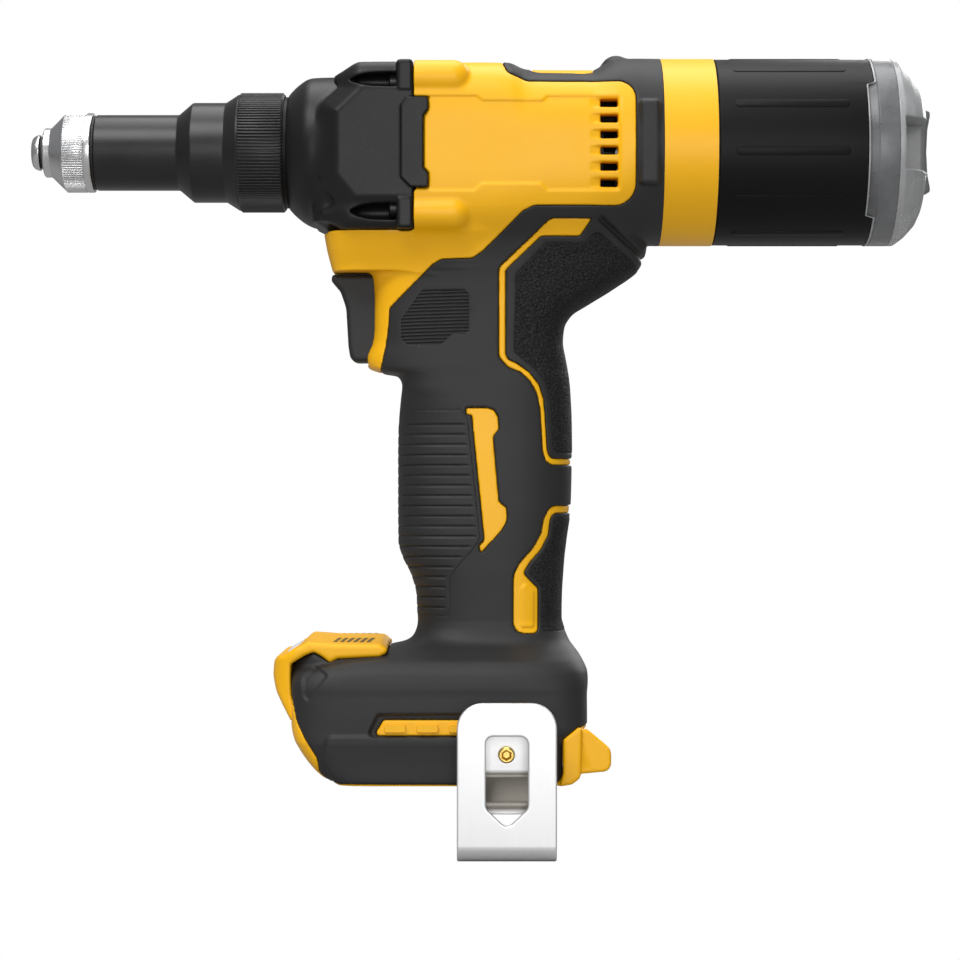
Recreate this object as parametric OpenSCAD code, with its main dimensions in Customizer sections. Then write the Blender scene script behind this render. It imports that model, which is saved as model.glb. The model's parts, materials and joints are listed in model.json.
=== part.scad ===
// Battery blind rivet tool, millimetres
// Origin at the mouth of the nosepiece on the pulling axis
// X runs from the nose to the bottle, Z up, Y across

// One node to build, or all of them

/* [Nose] */
// Bore for the mandrel of a 4.8 mm rivet
tip_bore_d = 3.1; // [2:0.1:4]
// Largest diameter of the tip
tip_d = 11.2; // [10:0.1:11.4]
// Flat face of the tip
tip_face_d = 7.6; // [6:0.1:9]
// Length of the rounded tip
tip_dome = 2.6; // [2:0.1:4]
// Wire of the ring behind the tip
ring_wire = 1.2; // [0.8:0.1:1.5]
// Shank of the nosepiece inside the collar
tip_shank_d = 11.6; // [11.4:0.1:12.4]
// Flange that the collar clamps
tip_flange_d = 16; // [14:0.5:17]
// Thickness of that flange
tip_flange_t = 2; // [1:0.5:3]
// Tail that opens the jaws
tip_tail_d = 7.8; // [7:0.1:8.4]
// Lip at the front of the collar
lip_d = 15.5; // [14:0.1:18]
// Length of the lip
lip_len = 2.4; // [1.5:0.1:4]
// Knurled band of the collar
collar_d = 25; // [23:0.1:27]
// Cone between lip and band
collar_cone = 4.4; // [3:0.1:6]
// Length of the knurled band
collar_band = 9.1; // [7:0.1:12]
// Front wall of the collar
collar_wall = 2.6; // [2:0.1:4]
// Seal between collar and sleeve
seal_t = 0.6; // [0.4:0.1:1]
// Front of the sleeve
sleeve_d = 23.8; // [23:0.1:25]
// Length of the front of the sleeve
sleeve_len = 26.3; // [22:0.1:32]
// First cone of the sleeve
sleeve_cone = 4.5; // [3:0.1:7]
// Middle of the sleeve
middle_d = 31.4; // [29:0.1:34]
// Length of the middle
middle_len = 10.4; // [8:0.1:14]
// Second cone of the sleeve
middle_cone = 3.8; // [3:0.1:6]
// Knurled band at the rear of the sleeve
band_d = 37.6; // [36:0.1:40]
// Length of that band
band_len = 14.3; // [11:0.1:18]
// Groove between band and gear case
band_neck = 1.2; // [0.8:0.1:2]
// Threaded rear end of the sleeve
sleeve_thread = 9; // [7:0.5:11]
// Diameter of that thread
sleeve_thread_d = 31; // [29:0.1:31.6]
// Depth of the knurls
knurl_depth = 0.45; // [0.2:0.05:0.8]

/* [Pulling head] */
// Outer diameter of the jaw case
jaw_case_d = 18.6; // [18:0.1:19]
// Length of the jaw case
jaw_case_len = 31; // [28:0.5:34]
// Half angle of the cone
jaw_angle = 11; // [9:0.5:13]
// Length of a jaw
jaw_len = 12; // [10:0.5:13]
// Hole in the front of the jaw case
jaw_hole_d = 9.2; // [8.8:0.1:10]
// Mandrel hole between the closed jaws
jaw_bore_d = 2.5; // [1.8:0.1:3]
// Travel of the jaws when they open
jaw_open = 1.5; // [1:0.1:1.6]
// Major diameter of the draw spindle
screw_d = 14; // [13:0.1:14.4]
// Bore of the draw spindle
screw_bore_d = 6.9; // [6.8:0.1:7.4]
// Stroke of the spindle
stroke = 30; // [24:1:32]
// Outside of the mandrel tube
tube_d = 6; // [5.4:0.1:6.2]
// Inside of the mandrel tube
tube_bore_d = 4.8; // [4:0.1:5]

/* [Gear case] */
// Length of the gear case to its flange
case_len = 39; // [37:0.5:42]
// Half width of the case at its flange
case_half = 27.2; // [26.8:0.1:28]
// Half height of the case at its flange
case_rise = 25.6; // [25.2:0.1:26.4]
// Front diameter of the case
case_front_d = 37.2; // [36:0.1:40]
// Round middle of the case
case_round_d = 46.8; // [44:0.1:50]
// Distance of the four screws from the axis, along Y and Z
screw_pitch = 19.6; // [19:0.1:20.4]
// Heads of the four screws
case_screw_head = 6; // [5:0.1:6.4]
// Shanks of the four screws
case_screw_d = 3.5; // [3:0.1:4]
// Length of the side tab behind the flange
tab_reach = 5.7; // [4:0.1:8]
// Half height of the side tab
tab_half = 13.8; // [10:0.1:16]
// Diameter of the ball nut
nut_d = 22.8; // [22:0.1:24]
// Length of the ball nut
nut_len = 16.3; // [14:0.1:18]
// Flange of the ball nut
nut_flange_d = 34; // [32:0.1:35.6]
// Width of the bearings
bearing_w = 5; // [4:0.5:6]

/* [Planetary gear] */
// Module of the teeth
gear_module = 0.85; // [0.8:0.01:0.86]
// Teeth of the sun, and of each planet
sun_teeth = 15; // [15]
// Width of the gears
gear_w = 8; // [6:0.5:9]
// Pressure angle
pressure = 25; // [20:0.5:26]
// Pins of the planets
planet_pin_d = 4.4; // [4:0.1:5]
// Thickness of the carrier plate
carrier_t = 4; // [3:0.1:5]

/* [Motor] */
// Bore of the body round gear and motor
motor_bore_d = 44.4; // [44:0.1:45]
// Diameter of the rotor shaft
shaft_d = 10; // [9.6:0.1:11]
// Diameter of the rotor
rotor_d = 25; // [22:0.1:26]
// Thickness of the rear plate with its bearing
rear_plate_t = 12.95; // [12:0.05:14]
// Teeth of the stator
stator_teeth = 9; // [9]
// Diameter of the fan
fan_d = 40; // [36:0.1:42]
// Blades of the fan
fan_blades = 14; // [10:1:18]

/* [Body] */
// Length of the yellow body
body_len = 78.2; // [77:0.1:82]
// Height of the body from the axis to the top
body_half_h = 28.6; // [28:0.1:30]
// Half width of the body
body_half_w = 28; // [27.6:0.1:29.5]
// Thickness of the rubber
skin_t = 1.6; // [1.2:0.1:2]
// Length of the front bosses
boss_len = 17; // [14:0.5:20]
// Vent slots on each side
vent_count = 6; // [4:1:6]
// Distance between vent slots
vent_pitch = 4.9; // [4.5:0.1:5.2]
// Height of a vent slot
vent_h = 2.4; // [1.5:0.1:3]
// Length of a vent slot
vent_len = 5.4; // [4:0.1:7]

/* [Handle] */
// Depth of the handle, front to back
handle_depth = 54.5; // [52:0.5:57]
// Width of the handle
handle_w = 36; // [34:0.5:38]
// Distance from the axis to the bottom of the foot
handle_drop = 196; // [190:1:202]
// Screws that join the two halves
shell_screw_d = 3; // [2.5:0.1:3.5]
// Grooves of the front grip
groove_count = 19; // [12:1:22]
// Depth of those grooves
groove_depth = 0.7; // [0.4:0.1:1]

/* [Trigger] */
// Width of the trigger
trigger_w = 14; // [12:0.5:15]
// Height of the trigger
trigger_h = 28; // [26:0.5:29]
// Travel of the trigger
trigger_travel = 6; // [4:0.5:7]
// Diameter of the switch plunger
plunger_d = 5; // [4:0.1:6]

/* [Foot] */
// Reach of the foot ahead of the handle
foot_front = 33.8; // [30:0.1:38]
// Reach of the foot behind the handle
foot_rear = 5.3; // [4:0.1:7]
// Width of the foot
foot_w = 69; // [67:0.5:71]
// Inside width of the battery slot
slot_w = 57; // [54:0.5:58]
// Height of the battery slot above its lips
slot_h = 9; // [8:0.5:10]
// Height of the lips
lip_h = 5; // [4:0.5:6]
// Width of each lip
lip_w = 4; // [3:0.5:5]
// Blades of the terminal block
blade_count = 5; // [3:1:6]
// Width of the work light
light_w = 52; // [46:0.5:56]

/* [Belt hook] */
// Width of the hook
hook_w = 29.5; // [26:0.5:32]
// Thickness of the sheet
hook_t = 1.8; // [1.5:0.1:2.2]
// Gap between the leaves
hook_gap = 11; // [9:0.5:13]
// Height of the hook
hook_h = 47; // [42:0.5:52]
// Thread of the hook screw
hook_screw_d = 4; // [3:0.5:4]

/* [Bottle] */
// Diameter of the mount ring
mount_d = 58.8; // [57:0.1:60]
// Length of the mount ring
mount_len = 16.6; // [14:0.1:20]
// Length of the black sleeve
sleeve_grip = 49.6; // [45:0.1:55]
// Ribs of the black sleeve
rib_count = 12; // [8:1:16]
// Height of a rib
rib_h = 0.5; // [0.3:0.1:0.8]
// Clear end behind the sleeve
clear_len = 15; // [12:0.1:18]
// Wall of the bottle
bottle_wall = 2; // [1.5:0.1:2.4]
// Turn that frees the bottle, degrees
bottle_turn = 35; // [30:1:40]

/* [Clearances] */
// Gap between fitted pieces
fit_gap = 0.3; // [0.25:0.05:0.4]
// Running gap of shafts and pins
run_gap = 0.05; // [0.03:0.01:0.08]

/* [Hidden] */
cut = 1;
round_fn = 48;
ring_n = 22;
core_n = 14;
teeth_planet = sun_teeth;
teeth_ring = sun_teeth + 2 * teeth_planet;

// Stations along the axis
x_lip = tip_dome + ring_wire;
x_cone = x_lip + lip_len;
x_band = x_cone + collar_cone;
x_seal = x_band + collar_band;
x_sleeve = x_seal + seal_t;
x_flange = x_cone + collar_wall;
x_spigot = x_flange + tip_flange_t + run_gap;
x_middle = x_sleeve + sleeve_len + sleeve_cone;
x_rear = x_middle + middle_len + middle_cone;
x_neck = x_rear + band_len;
x_case = x_neck + band_neck;
x_body = x_case + case_len;
x_mount = x_body + body_len;
x_grip = x_mount + mount_len + fit_gap;
x_clear = x_grip + sleeve_grip;
bar_reach = clear_len * 0.27;

// Pulling head
bore_r = jaw_case_d / 2 + fit_gap;
spigot_r = bore_r - fit_gap;
x_head = x_sleeve + 2 * ring_wire + 4 * seal_t;
jaw_hole_r = jaw_hole_d / 2;
cone_len = jaw_len + 2 * tip_flange_t;
cone_r = jaw_hole_r + cone_len * tan(jaw_angle);
x_jaw = x_head + tip_flange_t + 4 * run_gap;
x_pusher = x_jaw + jaw_len + fit_gap;
pusher_t = tip_flange_t;
spindle_grip = jaw_case_len * 0.26;
x_spindle = x_head + jaw_case_len - spindle_grip;
tip_tail_end = x_jaw - 2 * fit_gap;
screw_r = screw_d / 2;
screw_bore_r = screw_bore_d / 2;
tube_r = tube_d / 2;

// Nut, bearings and gear
x_thread = x_case + sleeve_thread + fit_gap;
web_t = tip_flange_t;
x_thrust = x_thread + web_t + run_gap;
thrust_w = bearing_w * 0.8;
x_nut = x_thread + run_gap;
x_nut_flange = x_thrust + thrust_w + run_gap;
nut_flange_t = carrier_t;
x_nut_bearing = x_nut_flange + nut_flange_t + run_gap;
x_nut_end = x_nut + nut_len;
case_bore_r = nut_flange_d / 2 + fit_gap;
nut_r = nut_d / 2;
x_carrier = x_nut_end + stroke + fit_gap * 3;
x_gear = x_carrier + carrier_t + fit_gap;
x_gear_end = x_gear + gear_w;
pitch_r = gear_module * sun_teeth / 2;
ring_pitch_r = gear_module * teeth_ring / 2;
planet_r = 2 * pitch_r;
motor_r = motor_bore_d / 2;
part_r = motor_r - fit_gap;
x_plate = x_gear_end + 2 * fit_gap;
x_stack = x_plate + bearing_w + fit_gap * 8;
fan_w = vent_len;
x_end = x_mount - rear_plate_t;
x_fan = x_end - fan_w - fit_gap * 4;
x_stack_end = x_fan - carrier_t * 0.7;
shaft_r = shaft_d / 2;
sun_bore_r = shaft_r - 2 * fit_gap - run_gap;

// Frames of the side outlines
handle_x = x_body - skin_t * 2.65;
handle_back = handle_x + handle_depth;
web_reach = (x_mount - handle_back) * 0.975;
foot_x = handle_x - foot_front;
foot_len = foot_front + handle_depth + foot_rear;
function hx(u) = handle_x + u * handle_depth;
function back_x(u) = u > 1 ? handle_back + (u - 1) * 2 * web_reach : hx(u);
function fx(u) = foot_x + u * foot_len;
function hp(u, v) = [handle_x + u * handle_depth, -v * handle_drop];
function bp(u, v) = [x_body + u * body_len, v * body_half_h];
function fp(u, v) = [foot_x + u * foot_len, -v * handle_drop];

// Shared shapes
module turned(outline) {
  rotate([0, 90, 0])
    rotate_extrude($fn = round_fn)
      polygon(outline);
}

module rod(r, x0, x1, y = 0, z = 0) {
  translate([x0, y, z])
    rotate([0, 90, 0])
      cylinder(r = r, h = x1 - x0, $fn = round_fn);
}

module tube(ro, ri, x0, x1) {
  turned([[ri, x0], [ro, x0], [ro, x1], [ri, x1]]);
}

module cross_rod(r, x, z, y0, y1, n = 10) {
  translate([x, y1, z])
    rotate([90, 0, 0])
      cylinder(r = r, h = y1 - y0, $fn = n);
}

module side_plate(outline, width, y = 0) {
  translate([0, y, 0])
    rotate([90, 0, 0])
      linear_extrude(height = width, center = true)
        polygon(outline);
}

module cross_plate(x0, x1) {
  translate([x0, 0, 0])
    rotate([90, 0, 90])
      linear_extrude(height = x1 - x0)
        children();
}

module box(x0, x1, y0, y1, z0, z1) {
  translate([x0, y0, z0])
    cube([x1 - x0, y1 - y0, z1 - z0]);
}

// Outline with every corner rounded
function unit(v) = v / norm(v);
function turn_of(a) = a > 180 ? a - 360 : a < -180 ? a + 360 : a;
function arc_at(m, r, a, d, n) =
  [for (i = [0 : n]) m + r * [cos(a + d * i / n), sin(a + d * i / n)]];
function corner(a, b, c, r, n) =
  let (
    u = unit(a - b),
    v = unit(c - b),
    half = acos(max(-1, min(1, u * v))) / 2,
    reach = min(r / tan(half), 0.45 * min(norm(a - b), norm(c - b))),
    rr = reach * tan(half),
    m = b + unit(u + v) * rr / sin(half),
    p = b + u * reach - m,
    q = b + v * reach - m,
    a0 = atan2(p[1], p[0]),
    a1 = atan2(q[1], q[0])
  )
  half > 86 ? [b] : arc_at(m, rr, a0, turn_of(a1 - a0), n);
function rounded(pts, r, n = 3) =
  let (k = len(pts))
  [for (i = [0 : k - 1]) each corner(pts[(i + k - 1) % k], pts[i], pts[(i + 1) % k], r, n)];

// Superellipse between lo and hi, half width w
function oval(lo, hi, w, e, n) =
  [for (i = [0 : n - 1])
    let (
      c = cos(360 * (i + 0.5) / n),
      s = sin(360 * (i + 0.5) / n)
    )
    [(lo + hi) / 2 + (hi - lo) / 2 * sign(c) * pow(abs(c), 2 / e),
     w * sign(s) * pow(abs(s), 2 / e)]];

module loft(rings) {
  n = len(rings[0]);
  k = len(rings);
  polyhedron(
    points = [for (r = rings) each r],
    faces = concat(
      [[for (j = [0 : n - 1]) j]],
      [for (i = [0 : k - 2], j = [0 : n - 1])
        [i * n + j, (i + 1) * n + j, (i + 1) * n + (j + 1) % n]],
      [for (i = [0 : k - 2], j = [0 : n - 1])
        [i * n + j, (i + 1) * n + (j + 1) % n, i * n + (j + 1) % n]],
      [[for (j = [0 : n - 1]) k * n - 1 - j]]
    ),
    convexity = 6
  );
}

// Loft along X, rows of station, low, high, half width, squareness
module loft_x(rows, n = ring_n) {
  loft([for (s = rows) [for (p = oval(s[1], s[2], s[3], s[4], n)) [s[0], -p[1], p[0]]]]);
}

// Loft along Z, rows of height, front, back, half width, squareness
module loft_z(rows, n = ring_n) {
  loft([for (s = rows) [for (p = oval(s[1], s[2], s[3], s[4], n)) [p[0], p[1], s[0]]]]);
}

// Helix about the X axis as one tube
module coil(r, wire, x0, x1, turns) {
  steps = 12;
  sides = 5;
  loft([for (i = [0 : steps * turns])
    let (a = 360 * i / steps, x = x0 + wire / 2 + (x1 - x0 - wire) * i / (steps * turns))
    [for (j = [0 : sides - 1])
      let (b = 360 * j / sides, q = r + wire / 2 * cos(b))
      [x + wire / 2 * sin(b), q * cos(a), q * sin(a)]]]);
}

// Straight knurl as a toothed disc
function knurl(r, n) =
  [for (i = [0 : 2 * n - 1])
    (r - (i % 2) * knurl_depth) * [cos(180 * i / n), sin(180 * i / n)]];

module knurled(r, ri, n, x0, x1) {
  difference() {
    cross_plate(x0, x1) polygon(knurl(r, n));
    rod(ri, x0 - cut, x1 + cut);
  }
}

// Nose
module nosepiece() {
  bore = tip_bore_d / 2;
  face = tip_face_d / 2;
  top = tip_d / 2;
  seat = top - ring_wire * 1.4;
  dome = [for (i = [0 : 6])
    [face + (top - face) * sin(15 * i), tip_dome * 0.8 * (1 - cos(15 * i))]];
  color("silver")
    turned(concat(
      [[bore, 0]], dome,
      [[top, tip_dome], [seat, tip_dome], [seat, x_lip],
       [tip_shank_d / 2, x_lip], [tip_shank_d / 2, x_flange],
       [tip_flange_d / 2, x_flange], [tip_flange_d / 2, x_flange + tip_flange_t],
       [tip_tail_d / 2, x_flange + tip_flange_t], [tip_tail_d / 2, tip_tail_end - bore],
       [tip_tail_d / 2 - bore, tip_tail_end], [bore, tip_tail_end]]));
}

module nose_o_ring() {
  seat = tip_d / 2 - ring_wire * 1.4;
  color("black")
    translate([x_lip - ring_wire / 2, 0, 0])
      rotate([0, 90, 0])
        rotate_extrude($fn = round_fn)
          translate([seat + ring_wire / 2 + run_gap, 0])
            circle(r = ring_wire / 2 - run_gap, $fn = 24);
}

module nose_collar() {
  hole = tip_shank_d / 2 + run_gap;
  thread = spigot_r + run_gap;
  color("silver") {
    turned([[hole, x_lip + run_gap], [lip_d / 2 - 0.3 * lip_len, x_lip + run_gap],
            [lip_d / 2, x_lip + 0.3 * lip_len], [lip_d / 2, x_cone],
            [collar_d / 2 - 1.5 * knurl_depth, x_band], [thread, x_band],
            [thread, x_flange - run_gap], [hole, x_flange - run_gap]]);
    knurled(collar_d / 2, thread, 54, x_band, x_seal);
  }
}

module collar_seal() {
  color("black")
    tube(collar_d / 2 - 2 * knurl_depth, spigot_r + run_gap, x_seal + run_gap, x_sleeve - run_gap);
}

module nose_sleeve() {
  spigot_bore = tip_tail_d / 2 + fit_gap;
  chamber = x_sleeve + 2 * seal_t;
  end = x_case + sleeve_thread;
  color("dimgray") {
    turned([[spigot_bore, x_spigot], [spigot_r, x_spigot], [spigot_r, x_sleeve],
            [sleeve_d / 2 - seal_t, x_sleeve], [sleeve_d / 2, x_sleeve + seal_t],
            [sleeve_d / 2, x_sleeve + sleeve_len],
            [middle_d / 2, x_middle], [middle_d / 2, x_middle + middle_len],
            [band_d / 2 - 1.5 * knurl_depth, x_rear], [band_d / 2 - 1.5 * knurl_depth, x_rear + seal_t],
            [sleeve_thread_d / 2, x_rear + seal_t], [sleeve_thread_d / 2, end],
            [bore_r, end], [bore_r, chamber], [spigot_bore, chamber]]);
    knurled(band_d / 2, sleeve_thread_d / 2 - seal_t, 72, x_rear + seal_t, x_neck - seal_t);
    tube(band_d / 2 - 1.5 * knurl_depth, sleeve_thread_d / 2 - seal_t, x_neck - seal_t, x_neck);
    tube(band_d / 2 - 2.4 * knurl_depth, sleeve_thread_d / 2 - seal_t, x_neck, x_case - run_gap);
  }
}

// Pulling head
module jaw(turn) {
  gap = run_gap * 2;
  r0 = jaw_hole_r + (x_jaw - x_head) * tan(jaw_angle) - gap;
  r1 = r0 + jaw_len * tan(jaw_angle);
  bore = jaw_bore_d / 2;
  count = 8;
  tooth = jaw_len / count;
  teeth = [for (i = [0 : count - 1]) each
    [[bore, x_jaw + jaw_len - i * tooth],
     [bore + 0.3 * tooth, x_jaw + jaw_len - (i + 1) * tooth + 0.1 * tooth]]];
  color("gray")
    rotate([turn, 0, 0])
      intersection() {
        turned(concat([[bore + 0.3 * tooth, x_jaw], [r0, x_jaw], [r1, x_jaw + jaw_len]], teeth));
        cross_plate(x_jaw - cut, x_jaw + jaw_len + cut)
          polygon([[bore * 0.1, 0], 3 * r1 * [cos(57), sin(57)], [3 * r1, 0],
                   3 * r1 * [cos(57), -sin(57)]]);
      }
}

module jaw_1() { jaw(90); }
module jaw_2() { jaw(210); }
module jaw_3() { jaw(330); }

module jaw_case() {
  chamber = cone_r + run_gap;
  color("darkgray")
    turned([[jaw_hole_r, x_head], [jaw_case_d / 2 - seal_t, x_head],
            [jaw_case_d / 2, x_head + seal_t], [jaw_case_d / 2, x_head + jaw_case_len],
            [chamber, x_head + jaw_case_len], [chamber, x_head + cone_len],
            [cone_r, x_head + cone_len]]);
}

module jaw_pusher() {
  bore = tube_bore_d / 2 - fit_gap;
  tail = screw_bore_r;
  front = cone_r * 0.6;
  color("silver")
    turned([[bore, x_pusher], [front - seal_t, x_pusher], [front, x_pusher + seal_t],
            [front, x_pusher + pusher_t / 2], [cone_r - fit_gap, x_pusher + pusher_t / 2],
            [cone_r - fit_gap, x_pusher + pusher_t], [tail, x_pusher + pusher_t],
            [tail, x_spindle - fit_gap], [bore, x_spindle - fit_gap]]);
}

module jaw_spring() {
  wire = ring_wire * 0.8;
  color("gray")
    coil(screw_bore_r + wire / 2 + 3 * fit_gap, wire,
         x_pusher + pusher_t + run_gap, x_spindle - run_gap, 4);
}

module draw_spindle() {
  head = cone_r;
  relief = screw_bore_r + fit_gap;
  end = x_head + jaw_case_len;
  color("silver")
    turned([[relief, x_spindle], [head, x_spindle], [head, end + run_gap],
            [jaw_case_d / 2, end + run_gap], [jaw_case_d / 2, end + carrier_t / 2],
            [screw_r, end + carrier_t / 2], [screw_r, x_nut_end - seal_t],
            [screw_r - seal_t, x_nut_end], [screw_bore_r, x_nut_end],
            [screw_bore_r, x_spindle + jaw_open * 2], [relief, x_spindle + jaw_open * 2]]);
}

module mandrel_tube() {
  start = x_spindle + stroke + 2 * jaw_open;
  color("silver")
    turned([[tube_bore_d / 2, start], [tube_r, start], [tube_r, x_mount + fit_gap],
            [shaft_r, x_mount + fit_gap], [shaft_r, x_mount + carrier_t],
            [tube_r, x_mount + carrier_t], [tube_r, x_mount + 2 * carrier_t],
            [tube_bore_d / 2, x_mount + 2 * carrier_t]]);
}

// Nut and gear case
module ball_nut() {
  thread = screw_r + 2 * run_gap;
  color("gray")
    turned([[thread, x_nut], [nut_r, x_nut], [nut_r, x_nut_flange],
            [nut_flange_d / 2, x_nut_flange], [nut_flange_d / 2, x_nut_flange + nut_flange_t],
            [nut_r, x_nut_flange + nut_flange_t], [nut_r, x_nut_end], [thread, x_nut_end]]);
}

module thrust_bearing() {
  ri = nut_r + run_gap;
  ro = case_bore_r - run_gap;
  mid = (ri + ro) / 2;
  waist = thrust_w * 0.16;
  color("lightgray")
    turned([[ri, x_thrust], [ro, x_thrust], [ro, x_thrust + thrust_w / 2 - waist],
            [mid, x_thrust + thrust_w / 2 - waist], [mid, x_thrust + thrust_w / 2 + waist],
            [ro, x_thrust + thrust_w / 2 + waist], [ro, x_thrust + thrust_w],
            [ri, x_thrust + thrust_w]]);
}

// Bearing with a groove on each face between its rings
module bearing(ri, ro, x, w) {
  third = (ro - ri) / 3;
  step = w * 0.08;
  color("lightgray")
    turned([[ri, x], [ri + third, x], [ri + third, x + step], [ro - third, x + step],
            [ro - third, x], [ro, x], [ro, x + w], [ro - third, x + w],
            [ro - third, x + w - step], [ri + third, x + w - step],
            [ri + third, x + w], [ri, x + w]]);
}

module nut_bearing() {
  bearing(nut_r + run_gap, case_bore_r - run_gap, x_nut_bearing, bearing_w);
}

// Outside of the gear case, grown by g
module case_form(g) {
  front = case_front_d / 2 + g;
  round = case_round_d / 2 + g;
  mid = (front + round) / 2;
  wide = case_half + g - round;
  high = case_rise + g - round;
  // Rows of station, bottom, top, half width, squareness
  rows = [
    [x_case - (g > 0 ? cut : 0), front, front, front, 2],
    [x_case + case_len * 0.08, mid, mid, mid, 2],
    [x_case + case_len * 0.16, round, round, round, 2],
    [x_case + case_len * 0.3, round + high * 0.9, round, round + wide * 0.05, 2.2],
    [x_case + case_len * 0.41, round + high, round + high * 0.1, round + wide * 0.1, 2.5],
    [x_case + case_len * 0.52, round + high, round + high * 0.6, round + wide * 0.5, 3.2],
    [x_case + case_len * 0.63, round + high, round + high * 0.95, round + wide * 0.9, 4.8],
    [x_body + (g > 0 ? cut : 0), round + high, round + high, round + wide, 6]
  ];
  loft_x([for (r = rows) [r[0], -r[1], r[2], r[3], r[4]]]);
}

module tab_form(g, depth) {
  rear = x_body + tab_reach + g;
  front = x_body - tab_reach * 0.5 - g;
  mid = x_body + tab_reach * 0.74 + g;
  h = tab_half + g;
  slope = tab_reach * 0.4;
  low = tab_half * 0.7 + g;
  for (s = [-1, 1])
    side_plate([[front, h - slope], [front + slope, h], [rear, h], [rear, low + slope / 2],
                [mid, low], [mid, -low], [rear, -low - slope / 2], [rear, -h],
                [front + slope, -h], [front, slope - h]],
               depth, s * (body_half_w + fit_gap - depth / 2 + g));
}

module gear_case() {
  thread = sleeve_thread_d / 2 + run_gap;
  web = nut_r + fit_gap;
  spigot = motor_r - fit_gap;
  groove = case_screw_head / 2 + fit_gap;
  seat = x_body - carrier_t * 1.6;
  color("dimgray")
    difference() {
      union() {
        case_form(0);
        rod(spigot, x_body - cut, x_body + carrier_t * 1.4);
        tab_form(0, 2 * skin_t);
      }
      rod(thread, x_case - cut, x_thread);
      rod(web, x_case, x_thrust + cut);
      rod(case_bore_r, x_thread + web_t, x_body + carrier_t * 2);
      for (a = [-1, 1], b = [-1, 1]) {
        rod(groove, x_case + case_len * 0.48, seat, a * screw_pitch, b * screw_pitch);
        rod(case_screw_d / 2 + fit_gap, seat - cut, x_body + cut, a * screw_pitch, b * screw_pitch);
        box(x_case + case_len * 0.48 + groove, seat,
            a > 0 ? screw_pitch : -case_half - cut, a > 0 ? case_half + cut : -screw_pitch,
            b * screw_pitch - groove, b * screw_pitch + groove);
      }
    }
}

module gear_case_screws() {
  seat = x_body - carrier_t * 1.6;
  head = case_screw_head / 2;
  color("black")
    for (a = [-1, 1], b = [-1, 1])
      difference() {
        translate([0, a * screw_pitch, b * screw_pitch])
          turned([[0, seat - head], [head - seal_t, seat - head], [head, seat - head + seal_t],
                  [head, seat - run_gap], [case_screw_d / 2, seat - run_gap],
                  [case_screw_d / 2, x_body + boss_len * 0.7], [0, x_body + boss_len * 0.7]]);
        translate([seat - head - cut, a * screw_pitch, b * screw_pitch])
          rotate([0, 90, 0])
            cylinder(r = head / 2, h = cut + head * 0.6, $fn = 6);
      }
}

// Planetary gear
function tooth_points(z, centre, inner, outer, side) =
  let (
    r = gear_module * z / 2,
    half = (90 - side * 7) / z,
    slope = tan(pressure) * 180 / PI
  )
  [for (i = [0 : z - 1]) each
    let (a = centre + 360 * i / z,
         hi = half + slope * (r - inner) / r,
         ho = half - slope * (outer - r) / r)
    [inner * [cos(a - hi), sin(a - hi)], outer * [cos(a - ho), sin(a - ho)],
     outer * [cos(a + ho), sin(a + ho)], inner * [cos(a + hi), sin(a + hi)]]];

module gear(z, centre, bore, x0, x1) {
  r = gear_module * z / 2;
  difference() {
    cross_plate(x0, x1)
      polygon(tooth_points(z, centre, r - gear_module, r + 0.75 * gear_module, 1));
    rod(bore, x0 - cut, x1 + cut);
  }
}

module sun_gear() {
  color("gray") gear(sun_teeth, 90, sun_bore_r, x_gear, x_gear_end);
}

module planet(turn) {
  color("darkgray")
    translate([0, planet_r * cos(turn), planet_r * sin(turn)])
      gear(teeth_planet, turn, planet_pin_d / 2 + run_gap, x_gear, x_gear_end);
}

module planet_gear_1() { planet(90); }
module planet_gear_2() { planet(210); }
module planet_gear_3() { planet(330); }

module planet_pins() {
  color("silver")
    for (a = [90, 210, 330])
      rod(planet_pin_d / 2, x_carrier + carrier_t / 2, x_gear_end, planet_r * cos(a), planet_r * sin(a));
}

module planet_carrier() {
  inner = screw_r + fit_gap;
  outer = nut_r;
  plate = planet_r + planet_pin_d;
  color("gray")
    difference() {
      turned([[inner, x_nut_end + run_gap], [outer, x_nut_end + run_gap], [outer, x_carrier],
              [plate, x_carrier], [plate, x_carrier + carrier_t], [inner, x_carrier + carrier_t]]);
      for (a = [90, 210, 330])
        rod(planet_pin_d / 2, x_carrier + carrier_t / 2, x_gear, planet_r * cos(a), planet_r * sin(a));
    }
}

module ring_gear() {
  r = ring_pitch_r;
  color("gray")
    difference() {
      rod(part_r, x_gear - fit_gap, x_gear_end + fit_gap);
      cross_plate(x_gear - cut, x_gear_end + cut)
        polygon(tooth_points(teeth_ring, 90, r - 0.75 * gear_module, r + gear_module, -1));
    }
}

// Motor
module motor_plate() {
  seat = shaft_r * 1.9 + run_gap;
  hole = shaft_r + 2 * fit_gap;
  color("silver")
    turned([[hole, x_plate], [part_r, x_plate], [part_r, x_stack - fit_gap * 4],
            [seat, x_stack - fit_gap * 4], [seat, x_plate + fit_gap * 3], [hole, x_plate + fit_gap * 3]]);
}

module front_bearing() {
  bearing(shaft_r + run_gap, shaft_r * 1.9, x_plate + fit_gap * 3 + run_gap, bearing_w);
}

module rear_bearing() {
  bearing(shaft_r + run_gap, shaft_r * 1.9, x_end + run_gap, bearing_w);
}

module rear_plate() {
  seat = shaft_r * 1.9 + run_gap;
  deep = x_end + bearing_w + 2 * run_gap;
  color("dimgray")
    turned([[seat, x_end], [part_r, x_end], [part_r, x_mount - fit_gap],
            [tube_r + run_gap, x_mount - fit_gap], [tube_r + run_gap, deep + fit_gap * 3],
            [seat - shaft_r * 0.4, deep + fit_gap * 3], [seat - shaft_r * 0.4, deep], [seat, deep]]);
}

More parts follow.
